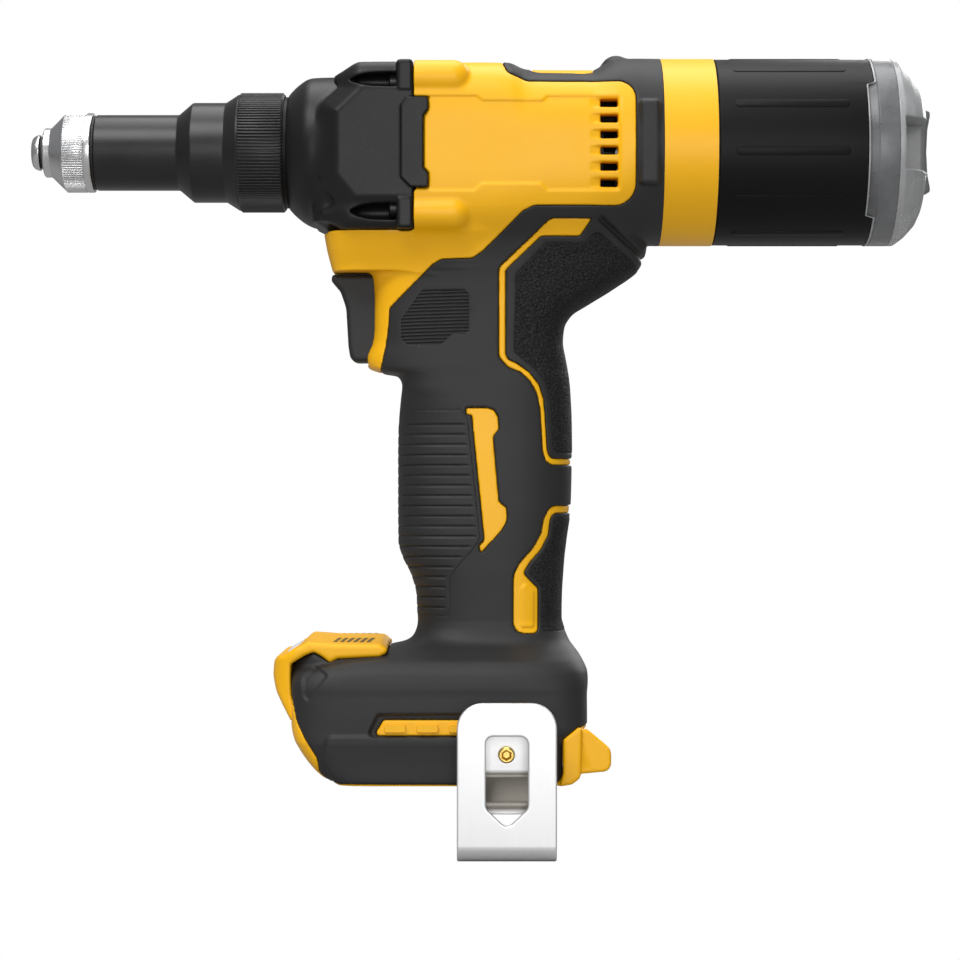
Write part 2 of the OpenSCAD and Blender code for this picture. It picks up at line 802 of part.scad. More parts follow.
module rotor_shaft() {
  bore = tube_r + fit_gap;
  front = sun_bore_r - run_gap;
  color("silver")
    turned([[bore, x_gear], [front, x_gear], [front, x_gear_end + run_gap],
            [shaft_r, x_gear_end + run_gap], [shaft_r, x_end + bearing_w],
            [bore, x_end + bearing_w]]);
}

module rotor_core() {
  color("gray") tube(rotor_d / 2, shaft_r + run_gap, x_stack, x_stack_end);
}

module motor_fan() {
  hub = shaft_r * 1.5;
  plate = fan_w * 0.22;
  color("black") {
    tube(hub, shaft_r + run_gap, x_fan, x_fan + fan_w);
    tube(fan_d / 2, shaft_r + run_gap, x_fan, x_fan + plate);
    for (i = [0 : fan_blades - 1])
      rotate([360 * i / fan_blades, 0, 0])
        box(x_fan + plate / 2, x_fan + fan_w, hub - run_gap, fan_d / 2 * 0.95, -plate / 2, plate / 2);
  }
}

module stator() {
  gap = rotor_d / 2 + 2 * fit_gap;
  yoke = part_r * 0.84;
  tooth = part_r * 0.26;
  color("slategray")
    cross_plate(x_stack, x_stack_end) {
      difference() {
        circle(r = part_r, $fn = round_fn);
        circle(r = yoke, $fn = round_fn);
      }
      difference() {
        for (i = [0 : stator_teeth - 1])
          rotate(360 * i / stator_teeth)
            translate([gap - cut, -tooth / 2])
              square([yoke - gap + 2 * cut, tooth]);
        circle(r = gap, $fn = round_fn);
      }
    }
}

module stator_coils() {
  gap = rotor_d / 2 + 4 * fit_gap;
  yoke = (part_r * 0.84 - fit_gap) * 0.97;
  tooth = part_r * 0.26;
  side = tooth * 0.22;
  far = fit_gap * 3;
  color("peru")
    for (i = [0 : stator_teeth - 1])
      rotate([360 * i / stator_teeth, 0, 0])
        difference() {
          box(x_stack - far, x_stack_end + far * 2, gap + side, yoke, -tooth / 2 - side, tooth / 2 + side);
          box(x_stack - run_gap, x_stack_end + run_gap, gap, part_r,
              -tooth / 2 - run_gap, tooth / 2 + run_gap);
        }
}

// Body
// Rows of share of body length, top, bottom, half width, squareness
barrel_shares = [
  [0, 0.94, 0.98, 1, 4],
  [0.34, 0.94, 0.98, 1, 3.8],
  [0.4, 0.92, 0.98, 1.005, 3.6],
  [0.48, 0.875, 0.99, 1.01, 3.4],
  [0.7, 0.865, 1, 1.015, 3.2],
  [0.76, 0.985, 1, 1.02, 2.8],
  [0.82, 1.035, 1.01, 1.03, 2.6],
  [0.9, 1.025, 1.015, 1.04, 2.3],
  [1, 1.02, 1.02, 1.04, 2.05]
];

module barrel_form(t) {
  loft_x([for (s = barrel_shares)
    [x_body + s[0] * body_len, -s[2] * body_half_h + t, s[1] * body_half_h - t,
     s[3] * body_half_w - t, s[4]]], t > 0 ? core_n : ring_n);
}

module boss_form() {
  r = case_rise - screw_pitch;
  y = body_half_w + fit_gap - r;
  for (a = [-1, 1], b = [-1, 1])
    hull() {
      translate([x_body, a * y, b * screw_pitch])
        rotate([0, 90, 0])
          cylinder(r = r, h = boss_len * 0.7, $fn = 12);
      translate([x_body + boss_len * 0.7, a * y, b * screw_pitch])
        sphere(r = r * 0.9, $fn = 10);
    }
}

// Rows of drop, front, back, half width, squareness
handle_shares = [
  [0.781, 0.086, 0.95, 0.95, 2.8],
  [0.745, 0.104, 0.941, 0.955, 2.8],
  [0.678, 0.07, 0.946, 0.97, 2.8],
  [0.652, 0.027, 0.952, 0.98, 2.8],
  [0.626, 0, 0.962, 0.99, 2.8],
  [0.565, 0, 0.993, 1, 2.8],
  [0.435, 0.003, 0.997, 0.99, 2.8],
  [0.377, 0.024, 0.981, 0.98, 3],
  [0.36, -0.005, 0.972, 0.97, 3.4],
  [0.354, -0.11, 0.967, 0.97, 4],
  [0.348, -0.168, 0.966, 0.97, 4.4],
  [0.334, -0.185, 0.962, 0.97, 4.4],
  [0.306, -0.15, 0.947, 0.96, 4.4],
  [0.284, -0.14, 0.962, 0.96, 4.2],
  [0.242, -0.14, 1.11, 0.97, 3.8],
  [0.214, -0.148, 1.285, 0.99, 3.6],
  [0.14, -0.158, 1.49, 1.25, 3.4],
  [0.097, -0.158, 1.5, 1.42, 3.4]
];

module handle_form(t) {
  loft_z([for (s = handle_shares)
    [-s[0] * handle_drop, hx(s[1]) + t, back_x(s[2]) - t, s[3] * handle_w / 2 - t, s[4]]],
    t > 0 ? core_n : ring_n);
}

// Roof over the trigger, below the gear case
roof_share = 0.197;
neck_shares = [
  [roof_share, -0.37, 0.3, 1.02, 5],
  [0.19, -0.38, 0.4, 1.06, 5],
  [0.16, -0.408, 0.5, 1.33, 5],
  [case_rise / handle_drop, -0.43, 0.6, 1.55, 5]
];

module neck_form() {
  loft_z([for (s = neck_shares)
    [-s[0] * handle_drop, hx(s[1]), hx(s[2]), s[3] * handle_w / 2, s[4]]]);
}

// Rows of drop, front, back, half width, squareness
foot_rows = [
  [1, fx(0.13), fx(0.92), 0.965, 7],
  [0.97, fx(0.056), fx(0.925), 0.99, 7],
  [0.943, fx(0.014), fx(0.925), 0.998, 7],
  [0.938, fx(0.011), fx(0.94), 1, 7],
  [0.912, fx(0), fx(1), 1, 7],
  [0.857, fx(0), fx(1), 0.986, 7],
  [0.832, fx(0.015), fx(0.994), 0.935, 6],
  [0.814, fx(0.11), fx(0.978), 0.855, 5],
  [0.801, hx(-0.139), fx(0.96), 0.72, 4],
  [0.788, hx(0.033), hx(0.991), 0.59, 3.4],
  [0.77, hx(0.089), hx(0.957), 0.51, 3],
  [0.75, hx(0.101), hx(0.945), 0.495, 2.8]
];

module foot_form(t) {
  loft_z([for (s = foot_rows)
    [-s[0] * handle_drop, s[1] + t, s[2] - t, s[3] * foot_w / 2 - t, s[4]]],
    t > 0 ? core_n : ring_n);
}

module outer_form(t) {
  barrel_form(t);
  handle_form(t);
  foot_form(t);
  if (t == 0) {
    boss_form();
    neck_form();
  }
}

// Side outline of the rubber
function rubber_outline() = concat(
  rounded([
    bp(0.38, 1.4), bp(0.385, 0.98), bp(0.42, 0.82), bp(0.78, 0.82), bp(0.865, 0.6),
    bp(0.865, -0.42), bp(0.8, -0.62), bp(0.52, -0.64), hp(0.48, 0.164), hp(0.2, 0.17),
    hp(-0.055, 0.25), hp(-0.07, 0.3), hp(-0.1, 0.356), hp(-0.5, 0.37),
    hp(-0.5, 0.8), fp(-0.1, 0.8)
  ], skin_t * 2, 2),
  [fp(0.015, 0.81), fp(0.02, 0.895), fp(0.1, 0.955), fp(0.17, 0.992), fp(0.91, 0.992),
   fp(0.926, 0.973), fp(0.926, 0.946), fp(1.1, 0.9), fp(1.2, 0.7), hp(1.3, 0.3),
   bp(1.1, -0.9), bp(1.1, 1.4)]
);

// Yellow line round the upper palm pad, then round the lower one
upper_line = [
  hp(0.985, 0.1), hp(0.93, 0.105), hp(0.615, 0.18), hp(0.605, 0.19), hp(0.605, 0.332),
  hp(0.65, 0.345), hp(0.83, 0.388), hp(0.85, 0.43), hp(0.865, 0.482), hp(0.91, 0.504),
  hp(1.2, 0.504), hp(1.2, 0.493), hp(0.93, 0.493), hp(0.895, 0.476), hp(0.88, 0.43),
  hp(0.86, 0.38), hp(0.68, 0.337), hp(0.645, 0.326), hp(0.65, 0.19), hp(0.85, 0.132),
  hp(0.96, 0.132)
];
lower_line = [
  hp(1.2, 0.57), hp(0.93, 0.57), hp(0.88, 0.578), hp(0.86, 0.612), hp(0.81, 0.638),
  hp(0.72, 0.667), hp(0.695, 0.69), hp(0.695, 0.763), hp(0.74, 0.776), hp(0.83, 0.776),
  hp(0.83, 0.704), hp(0.745, 0.68), hp(0.775, 0.66), hp(0.85, 0.64), hp(0.9, 0.617),
  hp(0.915, 0.587), hp(0.95, 0.581), hp(1.2, 0.581)
];
grip_strip = [
  hp(0.42, 0.41), hp(0.56, 0.412), hp(0.605, 0.43), hp(0.6, 0.445), hp(0.575, 0.46),
  hp(0.608, 0.56), hp(0.655, 0.575), hp(0.655, 0.592), hp(0.62, 0.61), hp(0.5, 0.646),
  hp(0.49, 0.634), hp(0.525, 0.624), hp(0.45, 0.424), hp(0.42, 0.422)
];
foot_bar = [
  fp(0.28, 0.94), fp(0.305, 0.917), fp(0.86, 0.917), fp(0.86, 0.94)
];

module rubber_region() {
  wide = foot_w + 2 * cut;
  difference() {
    side_plate(rubber_outline(), wide);
    side_plate(upper_line, wide + cut);
    side_plate(lower_line, wide + cut);
    side_plate(grip_strip, wide + cut);
    side_plate(foot_bar, wide + cut);
  }
}

// Everything that the body leaves free
trigger_z = -roof_share * handle_drop - fit_gap;
trigger_x = handle_x - handle_depth * 0.382;
trigger_len = handle_depth * 0.477;
trigger_rear = trigger_x + trigger_len;
switch_x = trigger_rear + trigger_travel * 1.6;
lead_x = hx(0.781);
switch_len = lead_x - tube_d - switch_x;
switch_top = trigger_z - fit_gap * 2;
switch_bottom = trigger_z - trigger_h * 0.92;
lead_r = ring_wire;
module_x = hx(-0.242);
module_len = lead_x + tube_d - module_x;
module_top = -handle_drop * 0.826;
module_bottom = -handle_drop * 0.9;
module_w = foot_w * 0.68;
slot_top = -handle_drop + lip_h + slot_h;
slot_x = foot_x + foot_len * 0.19;

module housing_spaces() {
  pocket = trigger_w / 2 + fit_gap;
  rear = lead_x + lead_r * 2;
  gap = fit_gap;
  rod(motor_r, x_body - cut, x_mount + cut);
  case_form(gap);
  tab_form(gap, 2 * skin_t + 2 * gap);
  box(trigger_x - cut, switch_x + switch_len + gap, -pocket, pocket,
      switch_bottom - gap, trigger_z + gap);
  box(trigger_x - cut, trigger_rear + trigger_travel + gap, -pocket, pocket,
      trigger_z - trigger_h - gap, trigger_z + gap);
  box(switch_x - gap, rear, -pocket, pocket, module_top - cut, switch_bottom + gap);
  box(switch_x + switch_len, rear, -pocket, pocket, switch_bottom, -motor_r * 0.6);
  box(module_x - gap, module_x + module_len + gap, -module_w / 2 - gap, module_w / 2 + gap,
      module_bottom - gap, module_top + gap);
  box(slot_x, foot_x + 2 * foot_len, -slot_w / 2, slot_w / 2, slot_top - slot_h, slot_top);
  box(slot_x, foot_x + 2 * foot_len, lip_w - slot_w / 2, slot_w / 2 - lip_w,
      slot_top - slot_h - 2 * lip_h, slot_top);
  box(slot_x + carrier_t, slot_x + 2 * carrier_t, -carrier_t, carrier_t, slot_top - cut, module_bottom);
  for (i = [0 : vent_count - 1]) {
    z = (i - (vent_count - 1) / 2) * vent_pitch;
    hull()
      for (s = [0, 1])
        cross_rod(vent_h / 2, x_vent + s * (vent_len - vent_h), z,
                  -body_half_w * 1.2, body_half_w * 1.2, 8);
  }
  for (a = [-1, 1], b = [-1, 1])
    translate([x_body - cut, a * screw_pitch, b * screw_pitch])
      rotate([0, 90, 0])
        cylinder(r = case_screw_d / 2 + fit_gap, h = boss_len * 0.75 + cut, $fn = 16);
  side_plate(light_outline(fit_gap), foot_w + cut);
  for (p = screw_places) {
    cross_rod(screw_shank + fit_gap, p[0], p[1], -screw_deep - fit_gap, foot_w);
    cross_rod(screw_head + fit_gap, p[0], p[1], p[2] - screw_head - run_gap, foot_w);
  }
  for (s = [-1, 1])
    cross_rod(insert_r + fit_gap, hook_x, hook_screw_z, s > 0 ? insert_in : -foot_w,
              s > 0 ? foot_w : -insert_in);
}

x_vent = x_fan + vent_h / 2;

// Screws of the shell, as station, height, and depth of the head face
screw_shank = shell_screw_d / 2;
screw_head = screw_shank * 1.9;
screw_deep = handle_w * 0.26;
screw_places = [
  [handle_x - handle_depth * 0.3, -handle_drop * 0.165, handle_w * 0.44],
  [back_x(1.14), -handle_drop * 0.17, handle_w * 0.4],
  [handle_x + handle_depth * 0.12, -handle_drop * 0.43, handle_w * 0.36],
  [handle_x + handle_depth * 0.12, -handle_drop * 0.6, handle_w * 0.36],
  [foot_x + foot_len * 0.13, -handle_drop * 0.87, foot_w * 0.36],
  [foot_x + foot_len * 0.935, -handle_drop * 0.87, foot_w * 0.36]
];

module rail_ends() {
  outline = [fp(0.88, 0.998), fp(0.955, 0.996), fp(0.97, 0.985), fp(1.04, 0.98), fp(1.063, 0.967),
             fp(1.06, 0.949), fp(1.04, 0.93), fp(0.975, 0.914), fp(0.88, 0.94)];
  t = foot_w * 0.46 - slot_w / 2;
  for (s = [-1, 1])
    side_plate(outline, t, s * (slot_w / 2 + t / 2));
}

module half(s) {
  far = 2 * foot_w;
  intersection() {
    children();
    box(-cut, 2 * handle_drop, s > 0 ? run_gap / 2 : -far, s > 0 ? far : -run_gap / 2,
        -2 * handle_drop, handle_drop);
  }
}

module housing(s) {
  color("gold")
    half(s)
      difference() {
        union() {
          difference() {
            outer_form(0);
            rubber_region();
          }
          outer_form(skin_t);
          rail_ends();
        }
        housing_spaces();
      }
}

module housing_left() { housing(-1); }
module housing_right() { housing(1); }

module grip(s) {
  color("dimgray")
    half(s)
      difference() {
        intersection() {
          outer_form(0);
          rubber_region();
        }
        outer_form(skin_t - run_gap);
        rail_ends();
        housing_spaces();
        grip_grooves(s);
      }
}

module grip_left() { grip(-1); }
module grip_right() { grip(1); }

// Grooves over the front of the handle
module grip_grooves(s) {
  top = -0.437 * handle_drop;
  pitch = handle_drop * 0.0163;
  r = pitch * 0.28;
  for (i = [0 : groove_count - 1]) {
    v = 0.437 + 0.0163 * i;
    reach = v < 0.66 ? 0.4 : 0.4 - (v - 0.66) * 3;
    z = top - i * pitch;
    y = handle_w / 2 + r - groove_depth;
    hull() {
      translate([handle_x + handle_depth * 0.14, s * y, z]) groove_end(r);
      translate([handle_x + handle_depth * reach, s * y, z]) groove_end(r);
    }
  }
}

module groove_end(r) {
  rotate([90, 0, 0])
    cylinder(r1 = r * 0.5, r2 = r, h = 2 * r, center = true, $fn = 4);
}

module housing_screws() {
  color("dimgray")
    for (p = screw_places)
      translate([p[0], p[2], p[1]])
        rotate([90, 0, 0])
          difference() {
            rotate_extrude($fn = 24)
              polygon([[0, -screw_head * 0.6], [screw_head, -screw_head * 0.6], [screw_head, screw_head],
                       [screw_shank, screw_head], [screw_shank, p[2] + screw_deep],
                       [0, p[2] + screw_deep]]);
            translate([0, 0, -screw_head - cut])
              cylinder(r = screw_shank * 0.9, h = cut + screw_head, $fn = 6);
          }
}

// Trigger and switch
trigger_shares = [
  [0.01, 0], [1, 0], [1, 0.9], [0.36, 0.975], [0.24, 0.95], [0.21, 0.82],
  [0.2, 0.62], [0.18, 0.38], [0.11, 0.19], [0, 0.07]
];

module trigger() {
  outline = [for (s = trigger_shares) [trigger_x + s[0] * trigger_len, trigger_z - s[1] * trigger_h]];
  axis = trigger_z - trigger_h / 2;
  color("black")
    difference() {
      side_plate(rounded(outline, skin_t), trigger_w);
      rod(plunger_r + run_gap, trigger_rear - trigger_travel, trigger_rear + cut, 0, axis);
    }
}

plunger_r = plunger_d / 2;

module switch_plunger() {
  axis = trigger_z - trigger_h / 2;
  color("white")
    rod(plunger_r, trigger_rear - trigger_travel + run_gap, switch_x + trigger_travel * 0.5, 0, axis);
}

module trigger_spring() {
  axis = trigger_z - trigger_h / 2;
  wire = ring_wire * 0.55;
  color("gray")
    translate([0, 0, axis])
      coil(plunger_r + wire, wire, trigger_rear + run_gap, switch_x - run_gap, 4);
}

module switch_module() {
  axis = trigger_z - trigger_h / 2;
  w = trigger_w / 2;
  color("dimgray")
    difference() {
      box(switch_x, switch_x + switch_len, -w, w, switch_bottom, switch_top);
      rod(plunger_r + run_gap, switch_x - cut, switch_x + trigger_travel * 1.8, 0, axis);
      for (s = [-1, 1])
        box(switch_x + switch_len * 0.3, switch_x + switch_len * 0.7, s * w - seal_t, s * w + seal_t,
            switch_bottom - cut, switch_top + cut);
    }
}

module switch_wires() {
  color("firebrick")
    for (y = [-1, 0, 1])
      translate([switch_x + switch_len * 0.4, y * lead_r * 3.4, module_top])
        cylinder(r = lead_r, h = switch_bottom - module_top, $fn = 24);
}

module motor_leads() {
  color("darkblue")
    for (y = [-1, 0, 1])
      translate([lead_x, y * lead_r * 3.4, module_top])
        cylinder(r = lead_r, h = -part_r - 2 * run_gap - module_top, $fn = 24);
}

module control_module() {
  w = module_w / 2;
  color("darkslategray") {
    difference() {
      box(module_x, module_x + module_len, -w, w, module_bottom, module_top);
      box(module_x + skin_t, module_x + module_len - skin_t, skin_t - w, w - skin_t,
          module_top - skin_t, module_top + cut);
    }
    for (p = [switch_x + switch_len * 0.4, lead_x])
      box(p - 2 * lead_r, p + 2 * lead_r, -lead_r * 5, lead_r * 5,
          module_top - 2 * skin_t, module_top - run_gap);
  }
}

// Battery terminals
module terminal_block() {
  w = slot_w * 0.32;
  x = slot_x + run_gap;
  color("black") {
    box(x, x + 3 * carrier_t, -w, w, slot_top - slot_h * 0.85, slot_top - run_gap);
    box(slot_x + carrier_t + run_gap, slot_x + 2 * carrier_t - run_gap,
        run_gap - carrier_t, carrier_t - run_gap, slot_top - cut, module_bottom - run_gap);
  }
}

module terminal_blades() {
  x = slot_x + 3 * carrier_t;
  t = seal_t;
  span = slot_w * 0.54;
  color("goldenrod")
    for (i = [0 : blade_count - 1])
      translate([0, -span / 2 + span * i / (blade_count - 1), 0])
        box(x + run_gap, x + 3.4 * carrier_t, -t / 2, t / 2,
            slot_top - slot_h * 0.74, slot_top - slot_h * 0.14);
}

// Work light
function light_outline(g) =
  let (
    o = [fp(0.018, 0.902), fp(-0.031, 0.855), fp(-0.041, 0.826), fp(-0.031, 0.806),
         fp(-0.005, 0.799), fp(0.055, 0.786), fp(0.083, 0.769), fp(0.162, 0.771), fp(0.318, 0.771),
         fp(0.34, 0.782), fp(0.332, 0.796), fp(0.312, 0.804), fp(0.146, 0.811), fp(0.09, 0.798),
         fp(0.018, 0.817), fp(0.016, 0.837), fp(0.02, 0.865), fp(0.04, 0.907)]
  )
  [for (i = [0 : len(o) - 1])
    o[i] + (i == 0 ? [-2 * g, -2 * g] : i > 11 ? [g, -g] : i > 8 ? [g, 0] : [-2 * g, g])];

light_a = fp(-0.022, 0.803);
light_b = fp(0.052, 0.787);

module light_bed(t0, t1, inset, w) {
  d = unit(light_b - light_a);
  n = [-d[1], d[0]];
  a = light_a + d * inset;
  b = light_b - d * inset;
  side_plate([a - n * t0, b - n * t0, b - n * t1, a - n * t1], w);
}

module light_housing() {
  w = light_w;
  x0 = foot_x - foot_len * 0.05;
  r = foot_len * 0.12;
  color("gold")
    difference() {
      intersection() {
        side_plate(light_outline(0), w);
        translate([0, 0, -handle_drop])
          linear_extrude(height = handle_drop)
            polygon(rounded([[x0, -w / 2], [x0 + foot_len * 0.5, -w / 2],
                             [x0 + foot_len * 0.5, w / 2], [x0, w / 2]], r, 6));
      }
      light_bed(-cut, skin_t * 1.6, skin_t / 2, w * 0.56);
      for (i = [0 : 5])
        translate([foot_x + foot_len * (0.12 + 0.028 * i), 0, -handle_drop * 0.771])
          rotate([0, 20, 0])
            box(-seal_t, seal_t, -w * 0.3, w * 0.3, -seal_t, cut);
    }
}

module light_lens() {
  color("white") light_bed(run_gap, skin_t * 0.8, skin_t / 2 + run_gap, light_w * 0.56 - 2 * run_gap);
}

module light_board() {
  color("green") light_bed(skin_t, skin_t * 1.55, skin_t / 2 + run_gap, light_w * 0.5);
}

// Belt hook
hook_x = foot_x + foot_len * 0.724;
hook_screw_z = -handle_drop * 0.953;
hook_top = -handle_drop * 0.87;
insert_r = hook_screw_d * 0.8;
insert_in = slot_w / 2 + run_gap * 10;

function hook_path() =
  let (
    y0 = foot_w / 2 + run_gap,
    z0 = hook_top,
    zb = hook_top - hook_h,
    jog = hook_gap * 0.36
  )
  [[y0, z0 - hook_h * 0.14], [y0, z0 - hook_h * 0.5], [y0 + jog, z0 - hook_h * 0.66],
   [y0 + jog, zb], [y0 + hook_gap + 2 * hook_t, zb], [y0 + hook_gap + 2 * hook_t, z0 - hook_h * 0.12],
   [y0 + hook_gap + 2.6 * hook_t, z0]];

module belt_hook() {
  path = hook_path();
  y0 = path[0][0];
  far = path[4][0];
  jog = path[2][0];
  t = hook_t;
  outline = rounded([
    path[0], path[1], path[2], path[3], path[4], path[5], path[6], path[6] - [t, 0], path[5] - [t, 0],
    path[4] + [-t, t], path[3] + [t, t], path[2] + [t, 0], path[1] + [t, 0], path[0] + [t, 0]
  ], hook_t * 0.5, 3);
  win = hook_w * 0.21;
  color("silver")
    difference() {
      intersection() {
        translate([hook_x - hook_w / 2, 0, 0])
          mirror([0, 1, 0])
            cross_plate(0, hook_w) polygon(outline);
        translate([hook_x, -foot_w / 2, 0])
          rotate([90, 0, 0])
            linear_extrude(height = 2 * foot_w, center = true)
              polygon(rounded([[-hook_w / 2, hook_top - 2 * hook_h], [hook_w / 2, hook_top - 2 * hook_h],
                               [hook_w / 2, hook_top], [-hook_w / 2, hook_top]], hook_w * 0.26, 8));
      }
      translate([hook_x, -far, 0])
        rotate([90, 0, 0])
          linear_extrude(height = hook_gap, center = true)
            polygon(rounded([[-win, hook_top - hook_h * 0.24], [win, hook_top - hook_h * 0.24],
                             [win, hook_top - hook_h * 0.68], [0, hook_top - hook_h * 0.82],
                             [-win, hook_top - hook_h * 0.68]], hook_t * 0.8, 4));
      translate([hook_x, -jog, 0])
        rotate([90, 0, 0])
          linear_extrude(height = hook_gap * 0.6, center = true)
            polygon([[-win, hook_top - hook_h * 0.72], [win, hook_top - hook_h * 0.72],
                     [win, hook_top - hook_h * 0.92], [-win, hook_top - hook_h * 0.92]]);
      cross_rod(hook_screw_d / 2 + fit_gap, hook_x, hook_screw_z, -y0 - t - cut, cut - y0, 32);
    }
}

module belt_hook_screw() {
  face = foot_w / 2 + run_gap * 2 + hook_t;
  r = hook_screw_d / 2;
  head = r * 0.9;
  color("goldenrod")
    translate([hook_x, -face, hook_screw_z])
      rotate([90, 0, 0])
        difference() {
          union() {
            cylinder(r = r * 1.6, h = head, $fn = 32);
            translate([0, 0, insert_in - face])
              cylinder(r = r - run_gap, h = face - insert_in + head / 2, $fn = 32);
          }
          translate([0, 0, head * 0.4])
            cylinder(r = r * 0.72, h = head, $fn = 6);
        }
}

module hook_inserts() {
  out = foot_w / 2 - 2 * run_gap;
  color("goldenrod")
    for (s = [-1, 1])
      translate([hook_x, s > 0 ? out : -insert_in, hook_screw_z])
        rotate([90, 0, 0])
          difference() {
            cylinder(r = insert_r, h = out - insert_in, $fn = 32);
            translate([0, 0, -cut])
              cylinder(r = hook_screw_d / 2, h = 2 * cut + out - insert_in, $fn = 32);
          }
}

// Bottle
mount_r = mount_d / 2;
lug_r = mount_r - bottle_wall * 0.75;
neck_r = mount_r - bottle_wall * 1.5;
lug_count = 3;
lug_half = 9;

module bottle_mount() {
  base = carrier_t * 0.75;
  start = x_mount + base + 2 * fit_gap;
  groove = mount_len * 0.3;
  color("gold")
    difference() {
      rod(mount_r, x_mount + run_gap, x_mount + mount_len);
      rod(neck_r, x_mount + base, x_mount + mount_len + cut);
      rod(lug_r, start + fit_gap, start + groove);
      rod(shaft_r * 2.2, x_mount - cut, x_mount + mount_len);
      for (i = [0 : lug_count - 1])
        rotate([120 * i + bottle_turn, 0, 0])
          intersection() {
            rod(lug_r + fit_gap / 2, start + 2 * fit_gap, x_mount + mount_len + cut);
            box(start, x_mount + mount_len + cut, lug_r * 0.7, lug_r * 1.2,
                -lug_r * sin(lug_half + 3), lug_r * sin(lug_half + 3));
          }
      for (a = [45 : 90 : 315])
        rod(case_screw_d / 2 + fit_gap, x_mount - cut, x_mount + base + cut,
            motor_r * 0.8 * cos(a), motor_r * 0.8 * sin(a));
    }
}

module mount_screws() {
  base = x_mount + carrier_t * 0.75;
  head = case_screw_d * 0.85;
  color("gray")
    for (a = [45 : 90 : 315])
      translate([0, motor_r * 0.8 * cos(a), motor_r * 0.8 * sin(a)])
        difference() {
          turned([[0, x_mount - fit_gap + run_gap], [case_screw_d / 2, x_mount - fit_gap + run_gap],
                  [case_screw_d / 2, base + run_gap], [head, base + run_gap], [head, base + head],
                  [0, base + head]]);
          translate([base + head * 0.4, 0, 0])
            rotate([0, 90, 0])
              cylinder(r = head * 0.45, h = head, $fn = 6);
        }
}

module bottle() {
  base = x_mount + carrier_t * 0.75 + 2 * fit_gap;
  groove = mount_len * 0.3;
  neck = neck_r - fit_gap;
  body = mount_r - bottle_wall * 0.6;
  lip = x_mount + mount_len + fit_gap;
  end = x_clear + clear_len;
  inner = neck - bottle_wall;
  bar = bar_reach;
  flat = mount_r * 0.5;
  color("lightcyan", 0.5) {
    turned([[inner, base + groove * 0.4], [neck, base + groove * 0.4], [neck, lip],
            [body, lip], [body, x_clear + fit_gap], [mount_r, x_clear + fit_gap],
            [mount_r, x_clear + clear_len * 0.46], [mount_r * 0.82, x_clear + clear_len * 0.74],
            [flat, end], [0, end], [0, end - bottle_wall],
            [flat, end - bottle_wall], [mount_r * 0.8 - bottle_wall, x_clear + clear_len * 0.66],
            [inner, x_clear + clear_len * 0.4]]);
    for (i = [0 : lug_count - 1])
      rotate([120 * i, 0, 0])
        intersection() {
          tube(lug_r - fit_gap, neck - bottle_wall / 2, base + groove * 0.4, base + groove * 0.85);
          box(base, base + groove, lug_r * 0.7, lug_r * 1.2,
              -lug_r * sin(lug_half), lug_r * sin(lug_half));
        }
    difference() {
      box(end - bar * 1.9, end + bar, -bar * 0.8, bar * 0.8, -mount_r * 0.45, mount_r * 0.45);
      rod(flat, end - 2 * bar, end - bottle_wall / 2);
    }
  }
}

module bottle_sleeve() {
  body = mount_r - bottle_wall * 0.6 + run_gap;
  skin = mount_r - rib_h / 2;
  notch = bottle_wall * 1.1;
  color("black") {
    difference() {
      tube(skin, body, x_grip, x_clear);
      for (s = [0, 180])
        rotate([s, 0, 0])
          box(x_clear - notch, x_clear + cut, body * 0.72, mount_r * 1.2, -body * 0.69, body * 0.69);
    }
    for (i = [0 : rib_count - 1])
      rotate([360 * (i + 0.5) / rib_count, 0, 0])
        box(x_grip + sleeve_grip * 0.08, x_grip + sleeve_grip * 0.83, body + run_gap,
            skin + rib_h, -rib_h * 2.5, rib_h * 2.5);
  }
}

module bottle_seal() {
  wire = bottle_wall * 0.35;
  color("black")
    translate([x_mount + mount_len - wire, 0, 0])
      rotate([0, 90, 0])
        tube_ring(neck_r - fit_gap + run_gap, neck_r - run_gap, wire);
}

module tube_ring(ri, ro, w) {
  rotate_extrude($fn = round_fn)
    polygon([[ri, -w], [ro, -w], [ro, w], [ri, w]]);
}

nosepiece();
nose_o_ring();
nose_collar();
collar_seal();
nose_sleeve();
jaw_1();
jaw_2();
jaw_3();
jaw_case();
jaw_pusher();
jaw_spring();
draw_spindle();
mandrel_tube();
ball_nut();
thrust_bearing();
nut_bearing();
gear_case();
gear_case_screws();
planet_carrier();
planet_pins();
planet_gear_1();
planet_gear_2();
planet_gear_3();
ring_gear();
sun_gear();
motor_plate();
front_bearing();
rear_bearing();
rear_plate();
rotor_shaft();
rotor_core();
motor_fan();
stator();
stator_coils();
housing_left();
housing_right();
grip_left();
grip_right();
housing_screws();
trigger();
switch_plunger();
trigger_spring();
switch_module();
switch_wires();
motor_leads();
control_module();
terminal_block();
terminal_blades();
light_housing();
light_lens();
light_board();
belt_hook();
belt_hook_screw();
hook_inserts();
bottle_mount();
mount_screws();
bottle();
bottle_sleeve();
bottle_seal();
